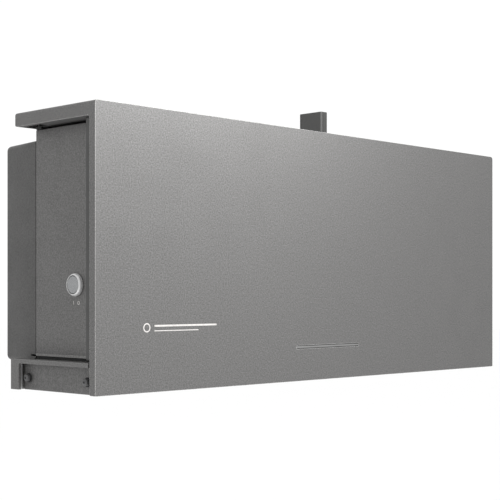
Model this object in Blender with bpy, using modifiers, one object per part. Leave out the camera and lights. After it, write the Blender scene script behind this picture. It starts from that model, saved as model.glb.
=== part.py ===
"""Inverter unit of a wall battery system, as separate pieces that come apart on a bench.

Frame: metres, +Z up. The front faces -Y and the wall is the plane Y = 0. The origin is the
centre of the wall bracket's rear face. Pieces are laid out by three measures: x from the
unit's middle, depth behind the cover's front face, and height above the cover's lower edge.
"""

import math

import bmesh
import bpy
from mathutils import Euler, Matrix, Vector

# ---------------------------------------------------------------- driving dimensions
WIDTH = 0.680  # cover, side to side
HEIGHT = 0.282  # cover, lower edge to top
DEPTH = 0.183  # cover's front face to the wall
BRACKET_HEIGHT = 0.190  # wall bracket's centre above the cover's lower edge

GAP = 0.0003  # between pieces that touch
SHEET = 0.0015  # folded steel
WALL = 0.003  # die-cast walls

RETURN_DEPTH = 0.0087  # cover's folded edge
CAP_DEPTH = 0.130
CAP_HEIGHT = 0.0141
CAP_BEND = 0.003
CAP_HEM = 0.0063  # folded edge along the rear of the cap's side lips
TRAY_DEPTH = 0.118
TRAY_END_DEPTH = 0.095  # where the tray's ends stop, beside the cap's hem
TRAY_END_INSET = 0.020

FRAME_INSET = 0.003
FRAME_BACK = 0.0178
BASE_HEIGHT = 0.0315  # top of the base brackets

BODY_INSET = 0.016
BODY_FRONT = 0.030
BODY_BACK = 0.116
BODY_BOTTOM = 0.0344
BODY_TOP = 0.2648
LID_FRONT = 0.0245

REAR_BACK = 0.181
REAR_TOP = 0.2548
REAR_BOTTOM = 0.0275
REAR_DRAFT = 0.0077  # how far each side leans in over the rear housing's depth
REAR_RADIUS = 0.005

BRACKET_FRONT = 0.0111
BRACKET_BACK = 0.1375
BRACKET_WIDTH = 0.0147
PANEL_INSET = 0.008

HALF = WIDTH / 2
BODY_HALF = HALF - BODY_INSET

# ---------------------------------------------------------------- scene and collections
for old in list(bpy.data.objects):
    bpy.data.objects.remove(old)

parts = bpy.data.collections.new("inverter_unit")
cutters = bpy.data.collections.new("cutters")
cutters.hide_render = True
bpy.context.scene.collection.children.link(parts)
bpy.context.scene.collection.children.link(cutters)


# ---------------------------------------------------------------- finishes
def finish(name, colour, roughness, metallic=0.0):
    """A Principled material of one linear colour."""
    material = bpy.data.materials.new(name)
    material.use_nodes = True
    shader = material.node_tree.nodes["Principled BSDF"]
    shader.inputs["Base Color"].default_value = (*colour, 1.0)
    shader.inputs["Roughness"].default_value = roughness
    shader.inputs["Metallic"].default_value = metallic
    return material


POWDER_COAT = finish("powder_coat", (0.17, 0.165, 0.16), 0.5, 0.4)
BODY_PAINT = finish("body_paint", (0.13, 0.128, 0.125), 0.55, 0.3)
REAR_PAINT = finish("rear_paint", (0.11, 0.108, 0.105), 0.6, 0.2)
DARK_PLASTIC = finish("dark_plastic", (0.045, 0.045, 0.045), 0.5)
BLACK_PLASTIC = finish("black_plastic", (0.02, 0.02, 0.02), 0.45)
CLEAR_PLASTIC = finish("clear_plastic", (0.8, 0.8, 0.8), 0.2)
RUBBER = finish("rubber", (0.02, 0.02, 0.02), 0.8)
ALUMINIUM = finish("aluminium", (0.5, 0.5, 0.5), 0.4, 1.0)
STEEL = finish("steel", (0.4, 0.4, 0.4), 0.35, 1.0)
BLACK_STEEL = finish("black_steel", (0.03, 0.03, 0.03), 0.4, 0.8)
CHROME = finish("chrome", (0.6, 0.6, 0.6), 0.1, 1.0)
BOARD_GREEN = finish("board_green", (0.02, 0.12, 0.05), 0.5)
FERRITE = finish("ferrite", (0.05, 0.05, 0.055), 0.7)
SLEEVE_BLUE = finish("sleeve_blue", (0.03, 0.05, 0.12), 0.4)


# ---------------------------------------------------------------- shape helpers
def at(x, depth, height):
    """The point at these three measures, in the unit's frame."""
    return Vector((x, depth - DEPTH, height - BRACKET_HEIGHT))


def keep(obj, material, is_cutter=False):
    """Puts a new object in its collection, with its material."""
    for collection in list(obj.users_collection):
        collection.objects.unlink(obj)
    (cutters if is_cutter else parts).objects.link(obj)
    if is_cutter:
        obj.hide_render = True
        obj.display_type = "WIRE"
    elif material:
        obj.data.materials.clear()
        obj.data.materials.append(material)
    return obj


def mesh_object(name, build, place, material=None, is_cutter=False):
    """An object from a bmesh that build() fills, at this matrix."""
    mesh = bpy.data.meshes.new(name)
    shape = bmesh.new()
    build(shape)
    shape.to_mesh(mesh)
    shape.free()
    obj = bpy.data.objects.new(name, mesh)
    obj.matrix_world = place
    return keep(obj, material, is_cutter)


def block(name, x, depth, height, material=None, is_cutter=False):
    """A box between two values of each measure, its origin at its centre."""
    low = at(x[0], depth[0], height[0])
    high = at(x[1], depth[1], height[1])
    size = Matrix.Diagonal(high - low).to_4x4()
    return mesh_object(
        name,
        lambda shape: bmesh.ops.create_cube(shape, size=1.0, matrix=size),
        Matrix.Translation((low + high) / 2),
        material,
        is_cutter,
    )


TURNS = {
    "x": Euler((0, math.pi / 2, 0)),
    "y": Euler((-math.pi / 2, 0, 0)),
    "z": Euler((0, 0, 0)),
}


def rod(name, centre, radius, length, axis, material=None, is_cutter=False, sides=16):
    """A cylinder about its centre, along an axis of the frame."""

    def build(shape):
        bmesh.ops.create_cone(
            shape, cap_ends=True, segments=sides, radius1=radius, radius2=radius, depth=length
        )

    place = Matrix.Translation(centre) @ TURNS[axis].to_matrix().to_4x4()
    obj = mesh_object(name, build, place, material, is_cutter)
    obj.data.shade_smooth()
    obj.data.set_sharp_from_angle(angle=math.radians(40))
    return obj


def arc(centre, radius, start, end, steps=4):
    """Points along an arc, angles in degrees."""
    angles = [math.radians(start + (end - start) * i / steps) for i in range(steps + 1)]
    return [(centre[0] + radius * math.cos(a), centre[1] + radius * math.sin(a)) for a in angles]


def side_outline(name, points, x, material=None, is_cutter=False):
    """A prism across the unit, from an outline of (depth, height) points."""
    curve = bpy.data.curves.new(name, "CURVE")
    curve.dimensions = "2D"
    curve.fill_mode = "BOTH"
    curve.extrude = (x[1] - x[0]) / 2
    spline = curve.splines.new("POLY")
    spline.points.add(len(points) - 1)
    for point, (depth, height) in zip(spline.points, points):
        point.co = (depth, height, 0, 1)
    spline.use_cyclic_u = True
    guide = bpy.data.objects.new(name + "_outline", curve)
    guide.rotation_euler = Euler((math.pi / 2, 0, math.pi / 2))
    guide.location = at((x[0] + x[1]) / 2, 0, 0)
    parts.objects.link(guide)
    bpy.context.view_layer.update()
    graph = bpy.context.evaluated_depsgraph_get()
    mesh = bpy.data.meshes.new_from_object(guide.evaluated_get(graph))
    shape = bmesh.new()
    shape.from_mesh(mesh)
    bmesh.ops.remove_doubles(shape, verts=shape.verts, dist=1e-6)
    bmesh.ops.recalc_face_normals(shape, faces=shape.faces)
    shape.to_mesh(mesh)
    shape.free()
    obj = bpy.data.objects.new(name, mesh)
    obj.matrix_world = guide.matrix_world.copy()
    bpy.data.objects.remove(guide)
    return keep(obj, material, is_cutter)


def cut(target, *tools):
    """Subtracts each tool, in order."""
    for tool in tools:
        modifier = target.modifiers.new("cut_" + tool.name, "BOOLEAN")
        modifier.operation = "DIFFERENCE"
        modifier.object = tool
    return target


def weld_on(target, *pieces):
    """Joins pieces to the target; they become helpers of its Boolean."""
    for piece in pieces:
        keep(piece, None, is_cutter=True)
        modifier = target.modifiers.new("weld_" + piece.name, "BOOLEAN")
        modifier.operation = "UNION"
        modifier.object = piece
    return target


def soften(obj, width, segments=1, angle=40):
    """Rounds every edge sharper than the angle."""
    bevel = obj.modifiers.new("edges", "BEVEL")
    bevel.width = width
    bevel.segments = segments
    bevel.limit_method = "ANGLE"
    bevel.angle_limit = math.radians(angle)
    return obj


def span(half):
    """A range of x that is centred on the unit."""
    return (-half, half)


# ---------------------------------------------------------------- front cover and its fittings
LIGHT_LENGTH = 0.1106
LIGHT_HEIGHT = 0.0379
SLOT_HALF = 0.002


def make_front_cover():
    """Folded sheet: front face, a return all round, and the deep cap over the top."""
    lip = HEIGHT - CAP_HEIGHT
    corner = 0.002
    profile = [(0, 0), (RETURN_DEPTH, 0)]
    profile += arc((RETURN_DEPTH + CAP_BEND, lip - CAP_BEND), CAP_BEND, 180, 90)
    profile += arc((CAP_DEPTH - corner, lip + corner), corner, -90, 0)
    profile += arc((CAP_DEPTH - corner, HEIGHT - corner), corner, 0, 90)
    profile += [(0, HEIGHT)]
    cover = side_outline("front_cover", profile, span(HALF), POWDER_COAT)
    inner = span(HALF - SHEET)
    behind_face = block(
        "cover_hollow", inner, (SHEET, RETURN_DEPTH + 0.02), (SHEET, lip), is_cutter=True
    )
    under_cap = block(
        "cap_hollow",
        inner,
        (SHEET, CAP_DEPTH - SHEET),
        (lip + SHEET, HEIGHT - SHEET),
        is_cutter=True,
    )
    mouth = block(
        "cap_mouth",
        span(HALF - CAP_HEM),
        (SHEET, CAP_DEPTH - SHEET),
        (lip - 0.02, lip + 0.004),
        is_cutter=True,
    )
    tray_seat = block(
        "tray_seat",
        inner,
        (SHEET, TRAY_END_DEPTH + GAP),
        (lip - 0.02, lip + 0.004),
        is_cutter=True,
    )
    slot = block(
        "light_slot",
        span(LIGHT_LENGTH / 2),
        (-0.01, 0.01),
        (LIGHT_HEIGHT - SLOT_HALF, LIGHT_HEIGHT + SLOT_HALF),
        is_cutter=True,
    )
    cut(cover, weld_on(behind_face, under_cap, mouth, tray_seat), slot)


def make_cap_tray():
    """Closes the cap's underside but for its rear corners, with a flange up inside it."""
    lip = HEIGHT - CAP_HEIGHT
    tray = block(
        "cap_tray",
        span(HALF - SHEET - GAP),
        (SHEET + GAP, TRAY_END_DEPTH),
        (lip, lip + SHEET),
        DARK_PLASTIC,
    )
    rear = block(
        "cap_tray_rear",
        span(HALF - TRAY_END_INSET),
        (TRAY_END_DEPTH - 0.01, TRAY_DEPTH),
        (lip, lip + SHEET),
    )
    flange = block(
        "cap_tray_flange",
        span(HALF - TRAY_END_INSET),
        (TRAY_DEPTH - SHEET, TRAY_DEPTH),
        (lip, HEIGHT - SHEET - 0.001),
    )
    weld_on(tray, rear, flange)


def make_carrier_frame():
    """Moulded tray that the cover clips to; it shows as a dark line behind the cover's edge."""
    lip = HEIGHT - CAP_HEIGHT
    rim = 0.0025
    low = BASE_HEIGHT + 0.0015
    frame = block(
        "carrier_frame",
        span(HALF - FRAME_INSET),
        (0.0052, FRAME_BACK),
        (low, lip - GAP),
        DARK_PLASTIC,
    )
    hollow = block(
        "carrier_hollow",
        span(HALF - FRAME_INSET - rim),
        (-0.01, FRAME_BACK - rim),
        (low + rim, lip - GAP - rim),
        is_cutter=True,
    )
    light_notch = block(
        "light_notch",
        span(LIGHT_LENGTH / 2 + 0.012),
        (-0.01, 0.0135),
        (0.02, LIGHT_HEIGHT + 0.012),
        is_cutter=True,
    )
    cut(frame, hollow, light_notch)


def make_light_bar():
    """Light guide in the cover's slot, the board behind it, and the holder for both."""
    length = LIGHT_LENGTH / 2
    guide = block(
        "light_guide",
        span(length - GAP),
        (0.0002, 0.0045),
        (LIGHT_HEIGHT - 0.0012, LIGHT_HEIGHT + 0.0012),
        CLEAR_PLASTIC,
    )
    foot = block(
        "light_guide_foot",
        span(length + 0.003),
        (0.0025, 0.0045),
        (LIGHT_HEIGHT - 0.0035, LIGHT_HEIGHT + 0.0035),
    )
    weld_on(guide, foot)
    holder = block(
        "light_holder",
        span(length + 0.008),
        (SHEET + GAP, 0.0125),
        (LIGHT_HEIGHT - 0.0015 - 0.005, LIGHT_HEIGHT + 0.0075),
        BLACK_PLASTIC,
    )
    pocket = block(
        "light_pocket",
        span(length + 0.0035),
        (-0.01, 0.011),
        (LIGHT_HEIGHT - 0.004, LIGHT_HEIGHT + 0.004),
        is_cutter=True,
    )
    cut(holder, pocket)
    block(
        "light_board",
        span(length + 0.003),
        (0.0085, 0.0101),
        (LIGHT_HEIGHT - 0.0036, LIGHT_HEIGHT + 0.0036),
        BOARD_GREEN,
    )


# ---------------------------------------------------------------- push button
BUTTON_DEPTH = 0.050
BUTTON_HEIGHT = 0.1064
BEZEL_RADIUS = 0.0115
BEZEL_PROUD = 0.0045
BARREL_RADIUS = 0.0093
BARREL_LENGTH = 0.022
CAP_RADIUS = 0.0088
CAP_TRAVEL = 0.0025


def button_centre(outward):
    """The point on the button's axis this far outside the body's left side."""
    return at(-BODY_HALF - outward, BUTTON_DEPTH, BUTTON_HEIGHT)


def make_button():
    """Metal push button: flanged barrel, moving cap, nut and switch body inside."""
    bezel = rod(
        "button_bezel",
        button_centre((BEZEL_PROUD + GAP) / 2),
        BEZEL_RADIUS,
        BEZEL_PROUD - GAP,
        "x",
        CHROME,
        sides=32,
    )
    soften(bezel, 0.0012, 2)
    barrel_end = BARREL_LENGTH - 0.003
    barrel = rod(
        "button_barrel",
        button_centre(0.002 - barrel_end / 2),
        BARREL_RADIUS,
        barrel_end,
        "x",
        sides=24,
    )
    throat = rod(
        "button_throat",
        button_centre(0),
        CAP_RADIUS + GAP,
        0.020,
        "x",
        is_cutter=True,
        sides=32,
    )
    stem_hole = rod(
        "button_stem_hole", button_centre(-0.01), 0.004, 0.050, "x", is_cutter=True
    )
    cut(weld_on(bezel, barrel), throat, stem_hole)

    face = BEZEL_PROUD - 0.0005
    cap_length = 0.007
    cap = rod(
        "button_cap",
        button_centre(face - cap_length / 2),
        CAP_RADIUS,
        cap_length,
        "x",
        STEEL,
        sides=32,
    )
    soften(cap, 0.0006)
    stem_length = 0.016
    stem = rod(
        "button_stem",
        button_centre(face - cap_length - stem_length / 2 + 0.001),
        0.0035,
        stem_length,
        "x",
        sides=12,
    )
    weld_on(cap, stem)

    nut = rod(
        "button_nut",
        button_centre(-WALL - GAP - 0.002),
        0.0125,
        0.004,
        "x",
        STEEL,
        sides=6,
    )
    nut_bore = rod(
        "button_nut_bore",
        button_centre(-WALL),
        BARREL_RADIUS + GAP,
        0.030,
        "x",
        is_cutter=True,
        sides=24,
    )
    cut(nut, nut_bore)
    switch_start = face - cap_length - stem_length + 0.001 - CAP_TRAVEL - 0.001
    rod(
        "button_switch",
        button_centre(switch_start - 0.008),
        0.0085,
        0.016,
        "x",
        BLACK_PLASTIC,
        sides=20,
    )


# ---------------------------------------------------------------- DC isolator
KNOB_DEPTH = 0.073
KNOB_HEIGHT = 0.150
KNOB_RADIUS = 0.019
KNOB_PROUD = 0.0125
SHAFT_RADIUS = 0.004


def make_isolator():
    """Rotary switch in the right side: knob with a grip bar, its shaft, and the switch body."""

    def centre(outward):
        return at(BODY_HALF + outward, KNOB_DEPTH, KNOB_HEIGHT)

    disc = rod("isolator_knob", centre(0.0008 + 0.0025), KNOB_RADIUS, 0.005, "x", BLACK_PLASTIC, sides=28)
    soften(disc, 0.0008)
    grip = block(
        "isolator_grip",
        (BODY_HALF + 0.004, BODY_HALF + KNOB_PROUD),
        (KNOB_DEPTH - 0.005, KNOB_DEPTH + 0.005),
        (KNOB_HEIGHT - 0.0165, KNOB_HEIGHT + 0.0165),
    )
    soften(grip, 0.0015)
    shaft = rod("isolator_shaft", centre(-0.006), SHAFT_RADIUS, 0.020, "x", sides=16)
    weld_on(disc, grip, shaft)

    body = block(
        "isolator_switch",
        (BODY_HALF - WALL - GAP - 0.045, BODY_HALF - WALL - GAP),
        (KNOB_DEPTH - 0.022, KNOB_DEPTH + 0.022),
        (KNOB_HEIGHT - 0.025, KNOB_HEIGHT + 0.025),
        DARK_PLASTIC,
    )
    soften(body, 0.002)
    bore = rod(
        "isolator_bore", centre(-0.005), SHAFT_RADIUS + GAP, 0.030, "x", is_cutter=True, sides=20
    )
    cut(body, bore)


# ---------------------------------------------------------------- body, lid and rear housing
LID_THICKNESS = 0.003
SCREW_X = (-0.300, 0, 0.300)


def make_body():
    """Die-cast tub, open to the front, with holes for the button, the knob and the inlets."""
    body = block(
        "body_housing",
        span(BODY_HALF),
        (BODY_FRONT, BODY_BACK),
        (BODY_BOTTOM, BODY_TOP),
        BODY_PAINT,
    )
    soften(body, 0.0016, 1)
    hollow = block(
        "body_hollow",
        span(BODY_HALF - WALL),
        (0, BODY_BACK - WALL),
        (BODY_BOTTOM + WALL, BODY_TOP - WALL),
        is_cutter=True,
    )
    button_hole = rod(
        "button_hole",
        button_centre(0),
        BARREL_RADIUS + GAP,
        0.030,
        "x",
        is_cutter=True,
        sides=24,
    )
    knob_hole = rod(
        "knob_hole",
        at(BODY_HALF, KNOB_DEPTH, KNOB_HEIGHT),
        SHAFT_RADIUS + GAP,
        0.020,
        "x",
        is_cutter=True,
        sides=20,
    )
    inlet_window = block(
        "inlet_window",
        (INLET_FIRST - 0.030, INLET_LAST + 0.030),
        (INLET_DEPTH - 0.022, INLET_DEPTH + 0.022),
        (BODY_BOTTOM - 0.01, BODY_BOTTOM + 0.01),
        is_cutter=True,
    )
    cut(body, hollow, button_hole, knob_hole, inlet_window)

    gasket = block(
        "lid_gasket",
        span(BODY_HALF - 0.0005),
        (LID_FRONT + LID_THICKNESS + GAP, BODY_FRONT - GAP),
        (BODY_BOTTOM + 0.0005, BODY_TOP - 0.0005),
        RUBBER,
    )
    gasket_hollow = block(
        "gasket_hollow",
        span(BODY_HALF - WALL),
        (0, BODY_BACK),
        (BODY_BOTTOM + WALL, BODY_TOP - WALL),
        is_cutter=True,
    )
    cut(gasket, gasket_hollow)
    lid = block(
        "body_lid",
        span(BODY_HALF),
        (LID_FRONT, LID_FRONT + LID_THICKNESS),
        (BODY_BOTTOM, BODY_TOP),
        ALUMINIUM,
    )
    soften(lid, 0.001)
    rows = (BODY_BOTTOM + 0.010, BODY_TOP - 0.010)
    for number, (x, height) in enumerate([(x, row) for row in rows for x in SCREW_X], 1):
        screw = rod(
            f"lid_screw_{number}",
            at(x, LID_FRONT - GAP - 0.0013, height),
            0.0045,
            0.0026,
            "y",
            BLACK_STEEL,
            sides=12,
        )
        soften(screw, 0.0006)


def make_top_seal():
    """Rubber lip along the top of the body's rear edge, up to the underside of the cap."""
    foot = BODY_TOP + GAP
    crest = HEIGHT - CAP_HEIGHT - GAP
    side_outline(
        "top_seal",
        [
            (BODY_BACK - 0.008, foot),
            (BODY_BACK - 0.0003, foot),
            (BODY_BACK + 0.0001, foot + 0.0009),
            (BODY_BACK + 0.0008, foot + 0.0016),
            (BODY_BACK + 0.0026, crest - 0.0004),
            (BODY_BACK + 0.0026, crest),
            (BODY_BACK - 0.008, crest),
        ],
        span(BODY_HALF - GAP),
        RUBBER,
    )


HEAT_SINK_HALF = 0.270
FIN_COUNT = 24
FIN_THICKNESS = 0.0025


def make_heat_sink():
    """Extruded fins on a base plate, upright so that air rises between them."""
    base_back = BODY_BACK + 0.008
    sink = block(
        "heat_sink",
        span(HEAT_SINK_HALF),
        (BODY_BACK + GAP, base_back),
        (0.045, 0.242),
        ALUMINIUM,
    )
    pitch = (2 * HEAT_SINK_HALF - FIN_THICKNESS) / (FIN_COUNT - 1)
    fins = []
    for number in range(FIN_COUNT):
        x = -HEAT_SINK_HALF + number * pitch
        fins.append(
            block(
                f"fin_{number}",
                (x, x + FIN_THICKNESS),
                (base_back - 0.001, 0.160),
                (0.045, 0.242),
            )
        )
    weld_on(sink, *fins)


VENT_COUNT = 22
VENT_HALF = 0.255


def make_rear_housing():
    """Tapered shroud round the heat sink, vented at the top and the bottom, open to the front."""
    rear = block(
        "rear_housing",
        span(BODY_HALF),
        (BODY_BACK + GAP, REAR_BACK),
        (REAR_BOTTOM, REAR_TOP),
        REAR_PAINT,
    )
    lean(rear, REAR_DRAFT)
    round_rear(rear)
    inner = block(
        "rear_hollow",
        span(BODY_HALF - 0.0025),
        (BODY_BACK - 0.02, REAR_BACK - 0.0025),
        (REAR_BOTTOM + 0.0025, REAR_TOP - 0.0025),
        is_cutter=True,
    )
    lean(inner, REAR_DRAFT)
    step = block(
        "rear_step",
        span(HALF),
        (BODY_BACK - 0.01, BODY_BACK + 0.0065),
        (REAR_BOTTOM - 0.01, BODY_BOTTOM),
        is_cutter=True,
    )
    recess = block(
        "bracket_recess",
        span(RECESS_HALF),
        (RECESS_FLOOR, REAR_BACK + 0.01),
        (BRACKET_HEIGHT - 0.050, BRACKET_HEIGHT + 0.050),
        is_cutter=True,
    )
    cut(rear, inner)
    floor = block(
        "recess_floor",
        span(RECESS_HALF + 0.0025),
        (RECESS_FLOOR - 0.0025, REAR_BACK - 0.001),
        (BRACKET_HEIGHT - 0.0525, BRACKET_HEIGHT + 0.0525),
    )
    weld_on(rear, floor)
    cut(rear, recess, step)
    pitch = 2 * VENT_HALF / (VENT_COUNT - 1)
    for number in range(VENT_COUNT):
        x = -VENT_HALF + number * pitch
        if abs(x - STICK_X) < 0.018:
            continue
        vent = block(
            f"vent_{number}",
            (x - 0.0045, x + 0.0045),
            (0.128, 0.160),
            (REAR_BOTTOM - 0.02, REAR_TOP + 0.02),
            is_cutter=True,
        )
        cut(rear, vent)


def lean(obj, draft):
    """Draws the rear end of a block in at the sides."""
    for vertex in obj.data.vertices:
        if vertex.co.y > 0:
            vertex.co.x -= math.copysign(draft, vertex.co.x)


def round_rear(obj):
    """Rounds the edges of the rear face, and the four that run back to it."""
    mesh = obj.data
    weights = mesh.attributes.new("bevel_weight_edge", "FLOAT", "EDGE")
    for edge in mesh.edges:
        ends = [mesh.vertices[i].co for i in edge.vertices]
        at_rear = [end.y > 0 for end in ends]
        weights.data[edge.index].value = 1.0 if all(at_rear) else 0.25 if any(at_rear) else 0.0
    bevel = obj.modifiers.new("rear_edges", "BEVEL")
    bevel.width = REAR_RADIUS
    bevel.segments = 4
    bevel.limit_method = "WEIGHT"


# ---------------------------------------------------------------- wall bracket and rail
RECESS_HALF = 0.215
RECESS_FLOOR = 0.166
RAIL_HALF = 0.190


def make_wall_fixings():
    """Bent wall bracket with an upturned hook, and the unit's rail that hangs over it."""
    centre = BRACKET_HEIGHT
    plate = block(
        "wall_bracket",
        span(0.200),
        (DEPTH - 0.003, DEPTH),
        (centre - 0.035, centre + 0.035),
        STEEL,
    )
    shelf = block(
        "bracket_shelf",
        span(0.180),
        (DEPTH - 0.0095, DEPTH - 0.001),
        (centre + 0.006, centre + 0.0085),
    )
    hook = block(
        "bracket_hook",
        span(0.180),
        (DEPTH - 0.0095, DEPTH - 0.007),
        (centre + 0.006, centre + 0.0217),
    )
    weld_on(plate, shelf, hook)
    for x in (-0.150, -0.075, 0.075, 0.150):
        hole = rod(
            f"bracket_hole_{x:+.3f}",
            at(x, DEPTH, centre - 0.020),
            0.0045,
            0.020,
            "y",
            is_cutter=True,
            sides=12,
        )
        cut(plate, hole)

    rail = block(
        "hanging_rail",
        span(RAIL_HALF),
        (RECESS_FLOOR + GAP, RECESS_FLOOR + 0.003),
        (centre - 0.005, centre + 0.042),
        STEEL,
    )
    roof = block(
        "rail_roof",
        span(RAIL_HALF),
        (RECESS_FLOOR + 0.001, DEPTH - 0.0035),
        (centre + 0.022, centre + 0.0245),
    )
    tongue = block(
        "rail_tongue",
        span(RAIL_HALF - 0.015),
        (DEPTH - 0.0062, DEPTH - 0.0035),
        (centre + 0.0095, centre + 0.0235),
    )
    weld_on(rail, roof, tongue)


# ---------------------------------------------------------------- inlets under the body
INLET_FIRST = -0.200
INLET_LAST = 0.200
INLET_DEPTH = 0.080


def make_inlets():
    """Plate under the body, with the solar, battery, grid and data inlets."""
    top = BODY_BOTTOM - GAP
    plate = block(
        "inlet_plate",
        (INLET_FIRST - 0.040, INLET_LAST + 0.040),
        (INLET_DEPTH - 0.027, INLET_DEPTH + 0.027),
        (top - 0.0025, top),
        ALUMINIUM,
    )
    inlets = {
        "solar_inlet_1": (-0.200, 0.0085, 0.018),
        "solar_inlet_2": (-0.165, 0.0085, 0.018),
        "battery_inlet": (-0.105, 0.0145, 0.020),
        "grid_gland": (0.040, 0.0165, 0.022),
        "backup_gland": (0.115, 0.0165, 0.022),
        "data_gland": (0.190, 0.0125, 0.018),
    }
    for name, (x, radius, length) in inlets.items():
        hole = rod(
            name + "_hole",
            at(x, INLET_DEPTH, top),
            radius - 0.003 + GAP,
            0.02,
            "z",
            is_cutter=True,
            sides=20,
        )
        cut(plate, hole)
        under = top - 0.0025 - GAP
        inlet = rod(
            name,
            at(x, INLET_DEPTH, under - length / 2),
            radius,
            length,
            "z",
            BLACK_PLASTIC,
            sides=20,
        )
        soften(inlet, 0.001)
        neck = rod(
            name + "_neck",
            at(x, INLET_DEPTH, under + 0.004),
            radius - 0.003,
            0.012,
            "z",
            sides=20,
        )
        mouth = rod(
            name + "_mouth",
            at(x, INLET_DEPTH, under - length),
            radius - 0.0045,
            1.6 * length,
            "z",
            is_cutter=True,
            sides=16,
        )
        cut(weld_on(inlet, neck), mouth)


# ---------------------------------------------------------------- base brackets
SCREW_ROW = 0.0122
SERVICE_SCREWS = (0.0208, 0.1165)
SCREW_HEAD = 0.0046
LEDGE_WIDTH = 0.0220
LEDGE_BACK = 0.1190


def side_x(side, inner, outer):
    """A range of x at one side, from two insets measured in from the cover's edge."""
    ends = sorted((side * (HALF - inner), side * (HALF - outer)))
    return tuple(ends)


def make_base_bracket(name, side):
    """Bracket of thick sheet: side frame, top, rear wall, and a web behind the service panel."""
    bracket = side_outline(
        f"{name}_base_bracket",
        [
            (BRACKET_FRONT, BASE_HEIGHT - 0.0043),
            (0.1237, BASE_HEIGHT - 0.0043),
            (0.1237, 0),
            (BRACKET_BACK, 0),
            (BRACKET_BACK, BASE_HEIGHT),
            (BRACKET_FRONT, BASE_HEIGHT),
        ],
        side_x(side, 0, 0.003),
        POWDER_COAT,
    )
    top = block(
        f"{name}_bracket_top",
        side_x(side, 0.001, BRACKET_WIDTH),
        (BRACKET_FRONT, BRACKET_BACK),
        (BASE_HEIGHT - 0.0028, BASE_HEIGHT),
    )
    ledge = block(
        f"{name}_bracket_ledge",
        side_x(side, 0.001, LEDGE_WIDTH),
        (BRACKET_FRONT, LEDGE_BACK),
        (BASE_HEIGHT - 0.0028, BASE_HEIGHT),
    )
    rear_wall = block(
        f"{name}_bracket_rear",
        side_x(side, 0.001, BRACKET_WIDTH),
        (BRACKET_BACK - 0.003, BRACKET_BACK),
        (0, BASE_HEIGHT - 0.001),
    )
    web = block(
        f"{name}_bracket_web",
        side_x(side, PANEL_INSET + 0.0038, BRACKET_WIDTH),
        (BRACKET_FRONT + 0.001, BRACKET_BACK - 0.001),
        (0, BASE_HEIGHT - 0.001),
    )
    rib = block(
        f"{name}_bracket_rib",
        side_x(side, PANEL_INSET, PANEL_INSET + 0.005),
        (0.1275, 0.1294),
        (0, BASE_HEIGHT - 0.001),
    )
    weld_on(bracket, top, ledge, rear_wall, web, rib)
    block(
        f"{name}_foot_seal",
        side_x(side, 0.0125, LEDGE_WIDTH - 0.0005),
        (FRAME_BACK + 0.001, LEDGE_BACK - 0.0035),
        (BASE_HEIGHT + GAP, BODY_BOTTOM - GAP),
        RUBBER,
    )

    panel = block(
        f"{name}_service_panel",
        side_x(side, PANEL_INSET, PANEL_INSET + SHEET),
        (BRACKET_FRONT + 0.0005, 0.1256),
        (0.0004, BASE_HEIGHT - 0.0028 - GAP),
        POWDER_COAT,
    )
    soften(panel, 0.0003)
    for number, depth in enumerate(SERVICE_SCREWS, 1):
        washer = rod(
            f"{name}_service_screw_{number}",
            at(side * (HALF - PANEL_INSET + GAP + 0.0004), depth, SCREW_ROW),
            0.0047,
            0.0008,
            "x",
            BLACK_STEEL,
            sides=18,
        )
        head = rod(
            f"{name}_screw_head_{number}",
            at(side * (HALF - PANEL_INSET + 0.0006 + SCREW_HEAD / 2), depth, SCREW_ROW),
            0.0036,
            SCREW_HEAD,
            "x",
            sides=18,
        )
        weld_on(washer, soften(head, 0.0008))


def make_cross_bar():
    """Channel that ties the two base brackets and stands behind the cables."""
    height = (0.004, 0.024)
    bar = block(
        "cross_bar", span(HALF - BRACKET_WIDTH - GAP), (0.1185, 0.1345), height, STEEL
    )
    channel = block(
        "cross_bar_channel",
        span(HALF),
        (0.1185 + 0.002, 0.1345 + 0.01),
        (height[0] + 0.002, height[1] - 0.002),
        is_cutter=True,
    )
    cut(bar, channel)


# ---------------------------------------------------------------- communication stick
STICK_X = 0.145
STICK_DEPTH = (0.1315, 0.168)
STICK_THICKNESS = 0.012
STICK_TOP = 0.3356
PLUG_LENGTH = 0.012


def make_communication_stick():
    """Flat radio stick that plugs down into a socket on the rear housing."""
    x = STICK_X
    socket_top = REAR_TOP + 0.006
    stick = block(
        "communication_stick",
        (x - STICK_THICKNESS / 2, x + STICK_THICKNESS / 2),
        STICK_DEPTH,
        (socket_top + GAP, STICK_TOP),
        DARK_PLASTIC,
    )
    soften(stick, 0.0022, 2)
    plug = block(
        "stick_plug",
        (x - 0.0022, x + 0.0022),
        (0.1435, 0.1555),
        (socket_top - PLUG_LENGTH, socket_top + 0.005),
    )
    weld_on(stick, plug)
    socket = block(
        "stick_socket",
        (x - 0.010, x + 0.010),
        (STICK_DEPTH[0] - 0.0005, STICK_DEPTH[1]),
        (REAR_TOP + GAP, socket_top),
        BLACK_PLASTIC,
    )
    soften(socket, 0.001)
    neck = block(
        "socket_neck",
        (x - 0.0045, x + 0.0045),
        (0.1412, 0.1578),
        (REAR_TOP - 0.008, REAR_TOP + 0.001),
    )
    throat = block(
        "socket_throat",
        (x - 0.0025, x + 0.0025),
        (0.1432, 0.1558),
        (REAR_TOP - 0.02, socket_top + 0.01),
        is_cutter=True,
    )
    cut(weld_on(socket, neck), throat)
    cut(
        bpy.data.objects["rear_housing"],
        block(
            "socket_hole",
            (x - 0.0048, x + 0.0048),
            (0.1409, 0.1581),
            (REAR_TOP - 0.02, REAR_TOP + 0.02),
            is_cutter=True,
        ),
    )


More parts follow.
